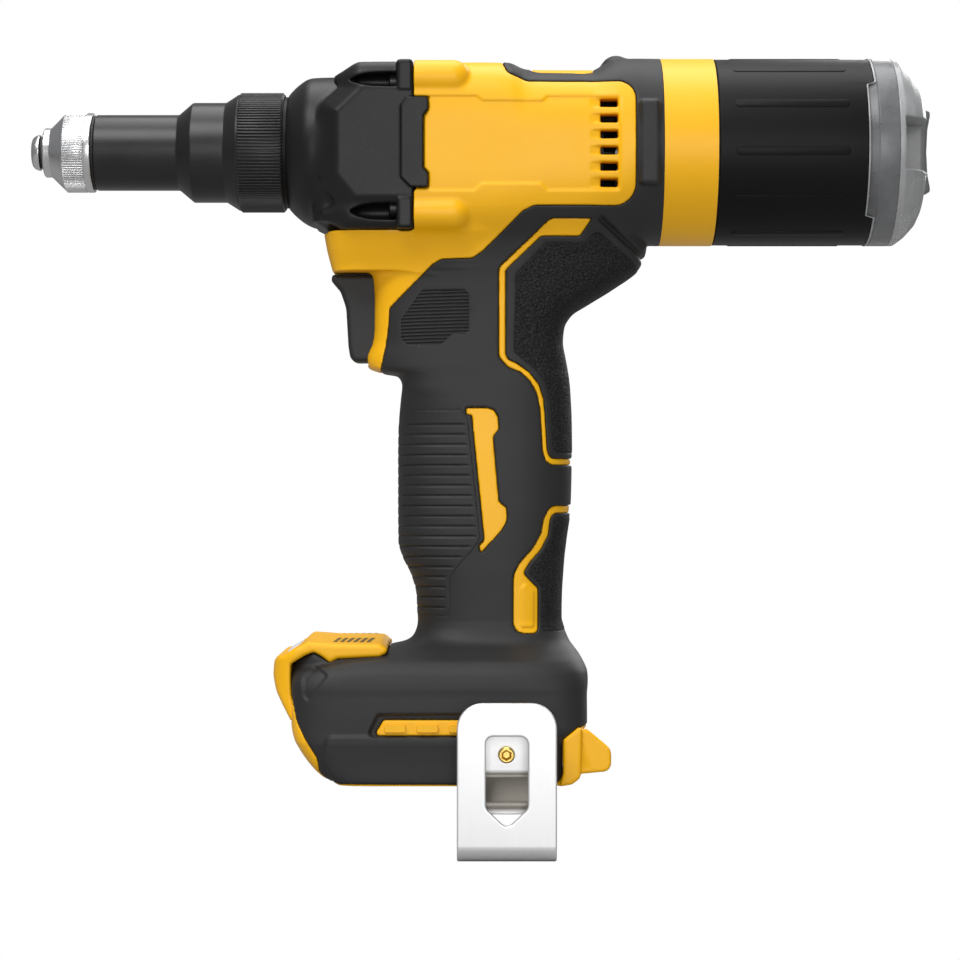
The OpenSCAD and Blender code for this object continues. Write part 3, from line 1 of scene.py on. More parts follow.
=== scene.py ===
import json
import math
from functools import reduce
import bmesh
import bpy
import numpy as np
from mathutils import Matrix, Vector


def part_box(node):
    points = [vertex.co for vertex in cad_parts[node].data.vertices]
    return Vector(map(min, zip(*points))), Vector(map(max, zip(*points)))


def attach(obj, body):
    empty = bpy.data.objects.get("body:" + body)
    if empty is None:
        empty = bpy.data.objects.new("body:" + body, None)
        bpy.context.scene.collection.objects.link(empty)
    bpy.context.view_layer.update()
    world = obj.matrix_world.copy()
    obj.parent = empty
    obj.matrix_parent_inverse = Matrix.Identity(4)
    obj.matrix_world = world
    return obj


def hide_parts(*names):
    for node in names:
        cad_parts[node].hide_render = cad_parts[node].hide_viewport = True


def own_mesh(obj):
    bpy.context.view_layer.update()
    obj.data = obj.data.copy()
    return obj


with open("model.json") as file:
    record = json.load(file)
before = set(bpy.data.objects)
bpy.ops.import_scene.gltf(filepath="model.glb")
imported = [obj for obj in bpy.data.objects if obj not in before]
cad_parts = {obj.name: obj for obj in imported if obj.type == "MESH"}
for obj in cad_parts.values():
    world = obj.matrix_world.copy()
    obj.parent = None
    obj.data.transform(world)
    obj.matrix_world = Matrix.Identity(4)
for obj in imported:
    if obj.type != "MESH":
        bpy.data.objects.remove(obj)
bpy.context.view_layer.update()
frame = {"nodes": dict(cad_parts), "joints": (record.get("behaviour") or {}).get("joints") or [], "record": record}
print("frame loaded")

mm = 0.001


# Shader maths as plain expressions: a wire is an output socket
class Wire:
    def __init__(self, maker, socket):
        self.maker, self.socket = maker, socket

    def maths(self, operation, a, b):
        return self.maker.add("ShaderNodeMath", {"operation": operation}, {0: a, 1: b})

    def __add__(self, other): return self.maths("ADD", self, other)
    def __radd__(self, other): return self.maths("ADD", other, self)
    def __sub__(self, other): return self.maths("SUBTRACT", self, other)
    def __rsub__(self, other): return self.maths("SUBTRACT", other, self)
    def __mul__(self, other): return self.maths("MULTIPLY", self, other)
    def __rmul__(self, other): return self.maths("MULTIPLY", other, self)


class Finish:
    def __init__(self, name, roughness=0.5, metallic=0.0, **sockets):
        self.material = bpy.data.materials.new(name)
        self.material.use_nodes = True
        self.tree = self.material.node_tree
        self.shader = self.tree.nodes["Principled BSDF"]
        self.shader.inputs["Roughness"].default_value = roughness
        self.shader.inputs["Metallic"].default_value = metallic
        for socket, value in sockets.items():
            self.shader.inputs[socket.replace("_", " ")].default_value = value
        self.place = self.add("ShaderNodeTexCoord", {}, {}, "Object")

    def add(self, kind, settings, inputs, output=0):
        node = self.tree.nodes.new(kind)
        for key, value in settings.items():
            setattr(node, key, value)
        for key, value in inputs.items():
            if isinstance(value, Wire):
                self.tree.links.new(value.socket, node.inputs[key])
            else:
                node.inputs[key].default_value = value
        return Wire(self, node.outputs[output])

    def noise(self, size, detail=3.0, stretch=(1, 1, 1), rough=0.55):
        # size is the grain in millimetres
        place = self.add("ShaderNodeMapping", {}, {"Vector": self.place, "Scale": [s / (size * mm) for s in stretch]})
        grain = {"Vector": place, "Scale": 1.0, "Detail": detail, "Roughness": rough}
        return self.add("ShaderNodeTexNoise", {}, grain, "Fac")

    def cells(self, size):
        return self.add("ShaderNodeTexVoronoi", {}, {"Vector": self.place, "Scale": 1.0 / (size * mm)}, "Distance")

    def within(self, axis, low, high, soft):
        # 1 between two places along an axis, in millimetres
        at = self.add("ShaderNodeSeparateXYZ", {}, {"Vector": self.place}, axis)
        rise = {"Value": at, "From Min": (low - soft) * mm, "From Max": low * mm}
        fall = {"Value": at, "From Min": high * mm, "From Max": (high + soft) * mm, "To Min": 1.0, "To Max": 0.0}
        return self.add("ShaderNodeMapRange", {}, rise) * self.add("ShaderNodeMapRange", {}, fall)

    def blend(self, factor, a, b):
        a, b = (tone if isinstance(tone, Wire) else (*tone, 1.0) for tone in (a, b))
        return self.add("ShaderNodeMix", {"data_type": "RGBA"}, {0: factor, 6: a, 7: b}, 2)

    def feed(self, socket, wire):
        self.tree.links.new(wire.socket, self.shader.inputs[socket])

    def bump(self, height, depth):
        self.feed("Normal", self.add("ShaderNodeBump", {}, {"Height": height, "Distance": depth * mm}, "Normal"))


def mouldedPlastic(name, dark, light, rough, grain=0.35, relief=0.02, gloss=0.35):
    f = Finish(name, Specular_IOR_Level=gloss)
    cloud = f.noise(22, 2)
    fine = f.noise(grain, 2)
    f.feed("Base Color", f.blend(cloud, dark, light))
    f.feed("Roughness", rough + (cloud - 0.5) * 0.1 + (fine - 0.5) * 0.12)
    f.bump(fine, relief)
    return f.material


def softRubber(name, dark, light, rough, grain, relief, gloss=0.4):
    f = Finish(name, Specular_IOR_Level=gloss)
    cloud = f.noise(14, 3)
    fine = f.noise(grain, 4, rough=0.7)
    f.feed("Base Color", f.blend(cloud * 0.6 + fine * 0.4, dark, light))
    f.feed("Roughness", rough + (fine - 0.5) * 0.2)
    f.bump(fine, relief)
    return f.material


def pebbledRubber(name, dark, light, size, relief):
    f = Finish(name, Specular_IOR_Level=0.25)
    pebble = f.cells(size)
    fine = f.noise(size * 0.45, 3, rough=0.7)
    f.feed("Base Color", f.blend((fine - 0.5) * 4 + 0.3, dark, light))
    f.feed("Roughness", 0.66 + (fine - 0.5) * 0.3)
    f.bump(fine * 0.6 - pebble * 0.8, relief)
    return f.material


def turnedMetal(name, dark, light, rough, metallic, line=0.22, relief=0.012, around="x"):
    # lines left by the tool run round the axis
    f = Finish(name, metallic=metallic)
    stretch = (1, 0.02, 0.02) if around == "x" else (0.02, 1, 0.02)
    lines = f.noise(line, 2, stretch)
    stain = f.noise(9, 4)
    f.feed("Base Color", f.blend(stain * 0.5 + lines * 0.5, dark, light))
    f.feed("Roughness", rough + (lines - 0.5) * 0.14 + (stain - 0.5) * 0.08)
    f.bump(lines, relief)
    return f.material


def brushedSheet(name, dark, light, rough, paintedShade):
    f = Finish(name, metallic=0.7)
    lines = f.noise(0.3, 3, (1, 1, 0.015))
    cloud = f.noise(30, 2)
    # painted shade: the bend behind the window gets a darker base colour, standing in for the shadow it lies in
    bend = f.within("Y", *paintedShade["y"], 0.6) * f.within("Z", *paintedShade["z"], 1.2)
    f.feed("Base Color", f.blend(bend, f.blend(lines * 0.6 + cloud * 0.4, dark, light), paintedShade["tone"]))
    f.feed("Roughness", rough + (lines - 0.5) * 0.16)
    f.bump(lines, 0.01)
    return f.material


def smokedClear(name, tint, rough, clear=0.86, cloud=1.25):
    f = Finish(name, Transmission_Weight=clear, IOR=1.45, Specular_IOR_Level=0.3)
    haze = f.noise(9, 3)
    f.feed("Base Color", f.blend(haze, tint, tuple(min(1, c * cloud) for c in tint)))
    f.feed("Roughness", rough + (haze - 0.5) * 0.1)
    f.bump(f.noise(3, 2), 0.02)
    return f.material


finishes = {
    "yellow_plastic": mouldedPlastic("shellYellow", (0.95, 0.47, 0.002), (0.99, 0.51, 0.004), 0.42),
    "black_plastic": mouldedPlastic("switchBlack", (0.016, 0.016, 0.017), (0.028, 0.028, 0.03), 0.42),
    "black_rubber": softRubber("gripRubber", (0.012, 0.012, 0.0125), (0.024, 0.024, 0.025), 0.56, 0.3, 0.03),
    "palm": pebbledRubber("palmRubber", (0.001, 0.001, 0.001), (0.04, 0.04, 0.041), 0.95, 0.5),
    "bottle_rubber": softRubber("bottleRubber", (0.0025, 0.0025, 0.0025), (0.006, 0.006, 0.006), 0.46, 0.3, 0.02,
                                0.15),
    "black_case": mouldedPlastic("caseBlack", (0.008, 0.008, 0.0085), (0.013, 0.013, 0.0135), 0.4, 0.5, 0.025,
                                 0.24),
    "black_steel": turnedMetal("sleeveBlack", (0.016, 0.016, 0.017), (0.034, 0.034, 0.035), 0.36, 0.55),
    "bright_steel": turnedMetal("tipSteel", (0.52, 0.52, 0.53), (0.76, 0.76, 0.76), 0.28, 1.0),
    "dark_steel": turnedMetal("gearSteel", (0.26, 0.26, 0.27), (0.42, 0.42, 0.44), 0.34, 1.0),
    # its last values place the painted shade: the darker tone on the bend behind the window
    "hook_steel": brushedSheet("hookSteel", (0.72, 0.72, 0.725), (0.82, 0.82, 0.82), 0.36,
                               {"y": (-43, -30), "z": (-202.6, -192.4), "tone": (0.16, 0.148, 0.128)}),
    "laminated_steel": turnedMetal("stackSteel", (0.12, 0.12, 0.13), (0.34, 0.35, 0.37), 0.45, 0.9, 0.5, 0.05),
    "copper": turnedMetal("windingCopper", (0.5, 0.2, 0.06), (0.82, 0.42, 0.18), 0.3, 1.0, 0.6, 0.12),
    "brass": turnedMetal("insertBrass", (0.7, 0.46, 0.1), (0.86, 0.64, 0.22), 0.28, 1.0, 0.3, 0.012, "y"),
    "clear_plastic": smokedClear("bottleClear", (0.07, 0.071, 0.073), 0.28, 0.3, 4.6),
    "bottle_cap": smokedClear("capClear", (0.4, 0.403, 0.407), 0.26, 0.4, 1.7),
    "knob": smokedClear("knobClear", (0.14, 0.142, 0.145), 0.3, 0.1, 1.6),
    "lens": mouldedPlastic("lensWhite", (0.9, 0.91, 0.93), (0.97, 0.98, 1.0), 0.25),
    "board": mouldedPlastic("boardGreen", (0.01, 0.09, 0.03), (0.02, 0.16, 0.06), 0.4),
    "red_lead": mouldedPlastic("leadRed", (0.4, 0.02, 0.015), (0.55, 0.04, 0.03), 0.45),
    "blue_lead": mouldedPlastic("leadBlue", (0.015, 0.03, 0.25), (0.04, 0.07, 0.42), 0.45),
    # painted shade: dark brown for the bars in the light's slots, standing in for the shade inside them
    "slot_shade_paint": mouldedPlastic("lightSlots", (0.12, 0.07, 0.012), (0.2, 0.12, 0.02), 0.5),
}
for part in frame["record"]["subparts"]:
    data = frame["nodes"][part["node"]].data
    data.materials.clear()
    data.materials.append(finishes[part["material_slot"]])
print("finishes made")


# Fields: arrays of distance to a surface in mm, negative inside
class Grid:
    def __init__(self, low, high, fine, quick):
        step = fine
        self.low, self.step = np.array(low, np.float32), step
        self.shape = [int(round((b - a) / step)) + 1 for a, b in zip(low, high)]
        axes = [(a + step * np.arange(n)).astype(np.float32) for a, n in zip(low, self.shape)]
        self.x, self.y, self.z = axes[0][:, None, None], axes[1][None, :, None], axes[2][None, None, :]


class Axes:  # a part of a grid, or one folded over its middle
    def __init__(self, x, y, z):
        self.x, self.y, self.z = x, y, z


far = 99  # outside of everything


def allOf(*fields):
    return reduce(np.maximum, fields)


def anyOf(*fields):
    return reduce(np.minimum, fields)


def between(t, low, high):
    return np.maximum(low - t, t - high)


def joinSoft(a, b, k):
    h = np.clip(0.5 + 0.5 * (b - a) / k, 0, 1)
    return b + (a - b) * h - k * h * (1 - h)


def cutSoft(a, b, k):
    return -joinSoft(-a, -b, k)


def ramp(t):
    t = np.clip(t, 0, 1)
    return t * t * (3 - 2 * t)


def smoothRow(at, values, t):
    # monotone cubic through the rows, flat beyond them
    at, values = np.array(at, float), np.array(values, float)
    gap, slope = np.diff(at), np.diff(values) / np.diff(at)
    m = np.zeros(len(at))
    same = slope[:-1] * slope[1:] > 0
    w1, w2 = 2 * gap[1:] + gap[:-1], gap[1:] + 2 * gap[:-1]
    with np.errstate(divide="ignore", invalid="ignore"):
        m[1:-1] = np.where(same, (w1 + w2) / (w1 / slope[:-1] + w2 / slope[1:]), 0)
    m[0], m[-1] = slope[0], slope[-1]
    flat = np.clip(t.ravel(), at[0], at[-1])
    i = np.clip(np.searchsorted(at, flat) - 1, 0, len(at) - 2)
    u, h = (flat - at[i]) / gap[i], gap[i]
    out = ((2 * u**3 - 3 * u**2 + 1) * values[i] + (u**3 - 2 * u**2 + u) * h * m[i]
           + (3 * u**2 - 2 * u**3) * values[i + 1] + (u**3 - u**2) * h * m[i + 1])
    return out.reshape(t.shape).astype(np.float32)


def loftField(grid, rows, along):
    # ovals of low, high, half width and squareness at each station, a sixth value squares the low half
    rows = np.array(sorted(rows))
    t, other = (grid.x, grid.z) if along == "x" else (grid.z, grid.x)
    low, high, wide, square = (smoothRow(rows[:, 0], rows[:, i], t) for i in range(1, 5))
    if rows.shape[1] > 5:
        square = np.where(other < (low + high) / 2, smoothRow(rows[:, 0], rows[:, 5], t), square)
    u = np.abs(other - (low + high) / 2) / ((high - low) / 2)
    v = np.abs(grid.y) / wide
    f = (u**square + v**square + 1e-9) ** (1 / square)
    slope = np.sqrt(sum(g * g for g in np.gradient(f, grid.step)))
    d = (f - 1) / np.maximum(slope, 1e-3)
    return np.maximum(d, between(t, rows[0, 0], rows[-1, 0])).astype(np.float32)


def boxField(x0, x1, y0, y1, z0, z1, grid, r=0.0):
    q = [np.abs(a - (lo + hi) / 2) - (hi - lo) / 2 + r
         for a, lo, hi in ((grid.x, x0, x1), (grid.y, y0, y1), (grid.z, z0, z1))]
    out = np.sqrt(np.maximum(q[0], 0)**2 + np.maximum(q[1], 0)**2 + np.maximum(q[2], 0)**2)
    return out + np.minimum(allOf(*q), 0) - r


def rounded(points, r, steps=5):
    # outline with rounded corners, r is one size or one for each corner
    out = []
    n = len(points)
    for i in range(n):
        a, b, c = (np.array(points[(i + j) % n], float) for j in (-1, 0, 1))
        u, v = (a - b) / np.linalg.norm(a - b), (c - b) / np.linalg.norm(c - b)
        half = math.acos(max(-1, min(1, u @ v))) / 2
        size = r[i] if isinstance(r, (list, tuple)) else r
        if half > 1.5 or size <= 0:
            out.append(tuple(b))
            continue
        reach = min(size / math.tan(half), 0.45 * min(np.linalg.norm(a - b), np.linalg.norm(c - b)))
        size = reach * math.tan(half)
        m = b + (u + v) / np.linalg.norm(u + v) * size / math.sin(half)
        p, q = b + u * reach - m, b + v * reach - m
        start = math.atan2(p[1], p[0])
        sweep = (math.atan2(q[1], q[0]) - start + math.pi) % (2 * math.pi) - math.pi
        turns = [start + sweep * k / steps for k in range(steps + 1)]
        out += [tuple(m + size * np.array((math.cos(t), math.sin(t)))) for t in turns]
    return out


def outlineField(points, u, v):
    # exact distance to a closed outline on the plane of u and v
    p = np.array(points, np.float32)
    best = np.full(np.broadcast(u, v).shape, 1e9, np.float32)
    inside = np.zeros(best.shape, bool)
    for a, b in zip(p, np.roll(p, -1, 0)):
        e = b - a
        t = np.clip(((u - a[0]) * e[0] + (v - a[1]) * e[1]) / max(float(e @ e), 1e-9), 0, 1)
        best = np.minimum(best, (u - a[0] - t * e[0])**2 + (v - a[1] - t * e[1])**2)
        if a[1] != b[1]:
            inside ^= ((a[1] > v) != (b[1] > v)) & (u < (b[0] - a[0]) * (v - a[1]) / (b[1] - a[1]) + a[0])
    d = np.sqrt(best)
    return np.where(inside, -d, d)


def pathField(points, u, v):
    # distance to an open line of points
    best = 1e9
    for a, b in zip(points[:-1], points[1:]):
        ex, ey = b[0] - a[0], b[1] - a[1]
        t = np.clip(((u - a[0]) * ex + (v - a[1]) * ey) / (ex * ex + ey * ey), 0, 1)
        best = np.minimum(best, (u - a[0] - t * ex)**2 + (v - a[1] - t * ey)**2)
    return np.sqrt(best)


def sideField(points, grid):
    return outlineField(points, grid.x, grid.z)


def markField(points, corners, grid, steps=5):
    return sideField(rounded(points, corners, steps), grid)


def frontPlan(grid, front, half, corner):
    # from above: a straight front with round corners, open at the back
    ahead = np.maximum(front + corner - grid.x, 0)
    aside = np.maximum(np.abs(grid.y) - half + corner, 0)
    return np.sqrt(ahead**2 + aside**2) - corner


def surfaceNet(field, grid):
    # one point in each cell that the surface crosses, one quad for each crossed edge
    f = np.ascontiguousarray(field, np.float32)
    f = np.pad(f, 1, constant_values=1.0)
    low = grid.low - grid.step
    inside = f < 0
    n = np.array(f.shape) - 1
    count = np.zeros(n, np.int8)
    shifts = [(i, j, k) for i in (0, 1) for j in (0, 1) for k in (0, 1)]
    for i, j, k in shifts:
        count += inside[i:n[0] + i, j:n[1] + j, k:n[2] + k]
    mixed = (count > 0) & (count < 8)
    cells = np.argwhere(mixed)
    index = np.full(mixed.shape, -1, np.int32)
    index[mixed] = np.arange(len(cells))
    corner = {s: f[cells[:, 0] + s[0], cells[:, 1] + s[1], cells[:, 2] + s[2]] for s in shifts}
    total, hits = np.zeros((len(cells), 3), np.float32), np.zeros(len(cells), np.float32)
    for s in shifts:
        for axis in range(3):
            if s[axis]:
                continue
            e = tuple(1 if i == axis else s[i] for i in range(3))
            va, vb = corner[s], corner[e]
            hit = (va < 0) != (vb < 0)
            t = np.where(hit, va / np.where(hit, va - vb, 1), 0)
            point = np.tile(np.array(s, np.float32), (len(cells), 1))
            point[:, axis] += t
            total += point * hit[:, None]
            hits += hit
    points = low + (cells + total / hits[:, None]) * grid.step
    quads = []
    for axis in range(3):
        b, c = (axis + 1) % 3, (axis + 2) % 3
        cut = [slice(None)] * 3
        nxt = [slice(None)] * 3
        cut[axis], nxt[axis] = slice(None, -1), slice(1, None)
        first, second = inside[tuple(cut)], inside[tuple(nxt)]
        for flip, where in ((False, first & ~second), (True, ~first & second)):
            at = np.argwhere(where)
            around = []
            for db, dc in ((-1, -1), (0, -1), (0, 0), (-1, 0)):
                q = at.copy()
                q[:, b] += db
                q[:, c] += dc
                around.append(index[q[:, 0], q[:, 1], q[:, 2]])
            quads.append(np.stack(around[::-1] if flip else around, 1))
    return points, np.concatenate(quads)


def newObject(name, mesh):
    thing = bpy.data.objects.new(name, mesh)
    bpy.context.scene.collection.objects.link(thing)
    return thing


def plainMesh(thing):
    # the evaluated result as a plain mesh, with the modifiers gone
    bpy.context.view_layer.update()
    done = bpy.data.meshes.new_from_object(thing.evaluated_get(bpy.context.evaluated_depsgraph_get()))
    old = thing.data
    thing.modifiers.clear()
    thing.data = done
    done.name = thing.name
    if old.users == 0:
        bpy.data.meshes.remove(old)


def finishPiece(thing, finish, body, slot, *replaced):
    thing.data.materials.clear()
    thing.data.materials.append(finishes[finish])
    thing.data.polygons.foreach_set("use_smooth", [True] * len(thing.data.polygons))
    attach(thing, body)
    if replaced:
        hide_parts(*replaced)
    return thing


def meshFromArrays(name, points, faces):
    mesh = bpy.data.meshes.new(name)
    mesh.vertices.add(len(points))
    mesh.vertices.foreach_set("co", (np.asarray(points, np.float32) * mm).ravel())
    if not len(faces):
        return mesh
    even = isinstance(faces, np.ndarray)
    sizes = np.full(len(faces), faces.shape[1]) if even else np.array([len(face) for face in faces])
    mesh.loops.add(int(sizes.sum()))
    mesh.loops.foreach_set("vertex_index", faces.ravel() if even else np.concatenate(faces))
    mesh.polygons.add(len(sizes))
    mesh.polygons.foreach_set("loop_start", np.concatenate([[0], np.cumsum(sizes)[:-1]]))
    mesh.update(calc_edges=True)
    mesh.validate()
    return mesh


def sampleField(field, at):
    # the field between its grid points
    cell = at.astype(int)
    part = (at - cell).astype(np.float32)
    total = 0
    for corner in np.ndindex(2, 2, 2):
        share = np.prod(np.where(corner, part, 1 - part), axis=1)
        total = total + share * field[tuple((cell + corner).T)]
    return total


def fieldNormals(thing, field, grid, flip):
    # shading follows the field, where it agrees with the faces
    mesh = thing.data
    turn = (1, -1, 1) if flip else (1, 1, 1)
    co, own = (np.empty(len(mesh.vertices) * 3, np.float32) for k in range(2))
    mesh.vertices.foreach_get("co", co)
    mesh.vertices.foreach_get("normal", own)
    own = own.reshape(-1, 3)
    last = np.array(grid.shape) - 1.001
    at = np.clip((co.reshape(-1, 3) / mm * turn - grid.low) / grid.step, 1, last - 1)
    reach = 0.6  # in cells
    ahead, behind = ([sampleField(field, np.clip(at + way * reach * axis, 0, last)) for axis in np.eye(3)]
                     for way in (1, -1))
    slope = np.stack(ahead, 1) - np.stack(behind, 1)
    slope = slope / np.maximum(np.linalg.norm(slope, axis=1, keepdims=True), 1e-6) * turn
    agree = (slope * own).sum(1, keepdims=True) > 0.6
    mesh.normals_split_custom_set_from_vertices(np.where(agree, slope, own).tolist())


mostFaces = 190000  # triangles in one piece


def netPiece(name, field, grid, finish, body, slot, *replaced, flip=False):
    points, quads = surfaceNet(field, grid)
    if flip:
        points, quads = points * (1, -1, 1), quads[:, ::-1]
    thing = newObject(name, meshFromArrays(name, points, np.ascontiguousarray(quads)))
    if len(quads) * 2 > mostFaces:
        cut = thing.modifiers.new("thin", "DECIMATE")
        cut.ratio = mostFaces / (len(quads) * 2)
        plainMesh(thing)
    print(name, len(quads), "cells,", len(thing.data.polygons), "faces")
    finishPiece(thing, finish, body, slot, *replaced)
    fieldNormals(thing, field, grid, flip)


def bothSides(name, left, right, grid, finish, slot, node=None):
    # the left one is turned over from the right half of the grid
    for side, form in (("left", left), ("right", right)):
        replaced = [node + "_" + side] if node else []
        netPiece(name + "_" + side, form, grid, finish, "tool", slot, *replaced, flip=side == "left")


def revolve(name, profile, segments, finish, body, slot, *replaced, bend=None):
    # closed outline of along and radius turned round the X axis
    p = np.array(profile, float)
    area = (p[:, 0] * np.roll(p[:, 1], -1) - np.roll(p[:, 0], -1) * p[:, 1]).sum()
    p = p if area > 0 else p[::-1]
    turns = [2 * math.pi * k / segments for k in range(segments)]
    points = [(bend(x, t) if bend else x, r * math.cos(t), r * math.sin(t)) for x, r in p for t in turns]
    faces = []
    for i in range(len(p)):
        row, after = i * segments, (i + 1) % len(p) * segments
        for k in range(segments):
            m = (k + 1) % segments
            faces.append((row + k, after + k, after + m, row + m))
    thing = newObject(name, meshFromArrays(name, points, np.array(faces)))
    finishPiece(thing, finish, body, slot, *replaced)
    thing.data.set_sharp_from_angle(angle=math.radians(40))


def barMesh(name, layers):
    # stacked outlines, each a list of points, closed at both ends
    count = len(layers[0])
    points = [p for layer in layers for p in layer]
    faces = [list(range(count))[::-1], [len(points) - count + i for i in range(count)]]
    for a in range(len(layers) - 1):
        for i in range(count):
            j = (i + 1) % count
            faces.append([a * count + i, a * count + j, (a + 1) * count + j, (a + 1) * count + i])
    return newObject(name, meshFromArrays(name, points, faces))


class Tree:
    def __init__(self, name, inputs):
        self.tree = bpy.data.node_groups.new(name, "GeometryNodeTree")
        self.names = {}
        for label, kind in {**inputs, "Item": "Object", "Finish": "Material"}.items():
            socket = self.tree.interface.new_socket(name=label, in_out="INPUT", socket_type="NodeSocket" + kind)
            self.names[label] = socket.identifier
        self.tree.interface.new_socket(name="Geometry", in_out="OUTPUT", socket_type="NodeSocketGeometry")
        self.given = self.tree.nodes.new("NodeGroupInput")

    def add(self, kind, settings, inputs, output=0):
        node = self.tree.nodes.new(kind)
        for key, value in settings.items():
            setattr(node, key, value)
        for key, value in inputs.items():
            if isinstance(value, bpy.types.NodeSocket):
                self.tree.links.new(value, node.inputs[key])
            else:
                node.inputs[key].default_value = value
        return node.outputs[output]

    def maths(self, operation, a, b):
        return self.add("ShaderNodeMath", {"operation": operation}, {0: a, 1: b})

    def end(self, points, rotation=None):
        # the item on every point, made real and painted
        given = self.given.outputs
        item = self.add("GeometryNodeObjectInfo", {}, {"Object": given["Item"], "As Instance": True}, "Geometry")
        spread = {"Points": points, "Instance": item}
        if rotation is not None:
            spread["Rotation"] = rotation
        placed = self.add("GeometryNodeInstanceOnPoints", {}, spread)
        real = self.add("GeometryNodeRealizeInstances", {}, {0: placed})
        painted = self.add("GeometryNodeSetMaterial", {}, {"Geometry": real, "Material": given["Finish"]})
        close = self.tree.nodes.new("NodeGroupOutput")
        self.tree.links.new(painted, close.inputs[0])
        return self


def makeAround():
    t = Tree("aroundAxis", {"Count": "Int", "Turn": "Float"})
    count, turn = t.given.outputs["Count"], t.given.outputs["Turn"]
    line = t.add("GeometryNodeMeshLine", {}, {"Count": count, "Offset": (0, 0, 0)})
    index = t.add("GeometryNodeInputIndex", {}, {})
    step = t.maths("DIVIDE", 2 * math.pi, count)
    angle = t.maths("ADD", t.maths("MULTIPLY", index, step), turn)
    return t.end(line, t.add("ShaderNodeCombineXYZ", {}, {"X": angle}))


def makeAlong():
    t = Tree("alongLine", {"Count": "Int", "Step": "Vector"})
    given = t.given.outputs
    return t.end(t.add("GeometryNodeMeshLine", {}, {"Count": given["Count"], "Offset": given["Step"]}))


def makePlaced():
    t = Tree("onPoints", {"Points": "Object"})
    return t.end(t.add("GeometryNodeObjectInfo", {}, {"Object": t.given.outputs["Points"]}, "Geometry"))


aroundAxis, alongLine, onPoints = makeAround(), makeAlong(), makePlaced()


def repeated(name, tree, item, finish, body, slot, *replaced, **values):
    # the tree's result as a plain mesh, the single item goes
    thing = newObject(name, bpy.data.meshes.new(name))
    spread = thing.modifiers.new("spread", "NODES")
    spread.node_group = tree.tree
    spread[tree.names["Item"]] = item
    spread[tree.names["Finish"]] = finishes[finish]
    for label, value in values.items():
        spread[tree.names[label]] = value
    plainMesh(thing)
    old = item.data
    bpy.data.objects.remove(item)
    bpy.data.meshes.remove(old)
    finishPiece(thing, finish, body, slot, *replaced)
    thing.data.set_sharp_from_angle(angle=math.radians(40))
    print(name, len(thing.data.polygons), "faces")


# Outside of the body
barrel = {
    "rows": [  # station, bottom, top, half width, squareness
        (121.2, -28.0, 26.8, 28.0, 4.0), (146, -28.0, 27.0, 28.0, 3.8), (150.5, -28.0, 26.8, 28.1, 3.6),
        (155.4, -28.2, 25.0, 28.2, 3.3), (158.0, -28.3, 24.7, 28.3, 3.2), (176.0, -28.6, 24.8, 28.5, 2.9),
        (180.5, -28.7, 26.8, 28.6, 2.7), (184.5, -28.9, 28.6, 28.8, 2.5), (190.5, -29.0, 29.1, 29.1, 2.25),
        (198.0, -29.2, 29.2, 29.2, 2.05)],
    "boss": (22.9, 20.4, 5.4, 133.2), "drop": 0.8,  # across, up, radius, end
    "bump": (184.2, 6.5, 24.6, 4.9),  # along, half length, up, radius
    "sidePad": (190.6, 196.6, 29.6, 12.9),  # from, to, half width, half height
    "bore": 22.2,
}
handle = {
    "rows": [  # height, front, back, half width, squareness behind and in front
        (-155.0, 122.6, 167.7, 17.2, 2.8, 2.8), (-146.0, 122.0, 167.0, 17.2, 2.8, 2.8),
        (-139.6, 121.7, 167.1, 17.3, 2.8, 2.8), (-132.9, 119.9, 167.5, 17.5, 2.8, 2.8),
        (-127.8, 117.4, 167.9, 17.6, 2.8, 2.8), (-122.7, 116.0, 168.5, 17.8, 2.8, 2.8),
        (-110.7, 115.9, 170.0, 18.0, 2.8, 2.8), (-96.0, 115.9, 170.3, 18.0, 2.8, 2.8),
        (-85.3, 116.1, 170.2, 17.8, 2.8, 2.9), (-78.4, 116.7, 169.9, 17.7, 2.85, 3.6),
        (-73.9, 117.2, 169.6, 17.6, 2.9, 4.8), (-70.6, 115.5, 169.2, 17.5, 3.0, 4.8),
        (-69.4, 109.6, 169.0, 17.5, 3.0, 3.6), (-68.2, 106.4, 168.8, 17.5, 3.05, 3.3),
        (-65.5, 105.5, 168.3, 17.4, 3.1, 3.2), (-60.0, 107.4, 167.4, 17.3, 3.2, 3.3),
        (-55.7, 107.9, 167.8, 17.3, 3.3, 3.4), (-51.4, 107.9, 170.2, 17.3, 3.4, 3.4),
        (-47.4, 107.9, 176.2, 17.4, 3.4, 3.4), (-44.3, 107.7, 181.3, 17.6, 3.4, 3.4),
        (-41.9, 107.5, 185.0, 17.8, 3.4, 3.4), (-39.5, 107.3, 188.6, 18.1, 3.4, 3.4),
        (-37.6, 107.1, 190.9, 18.4, 3.4, 3.4), (-34.6, 107.0, 192.7, 18.9, 3.4, 3.4),
        (-30.4, 106.9, 193.8, 20.0, 3.4, 3.4), (-19.0, 106.9, 194.0, 22.6, 3.4, 3.4)],
    "join": (5.0, 1.2, 181, 9),  # soft in front, tight at the back, start and length of the change
}
neck = {
    "rows": [
        (-38.4, 95.3, 132, 17.0, 5), (-37.0, 94.9, 137, 17.5, 5), (-31.4, 93.5, 143, 20.2, 5),
        (-26.3, 92.6, 148, 22.6, 5)],
    "top": -26.3, "rear": 121.2,  # above this the shell starts behind the gear case
    "lip": (0.4, 96.5, 4),  # how far the top sinks in front, start and length
}
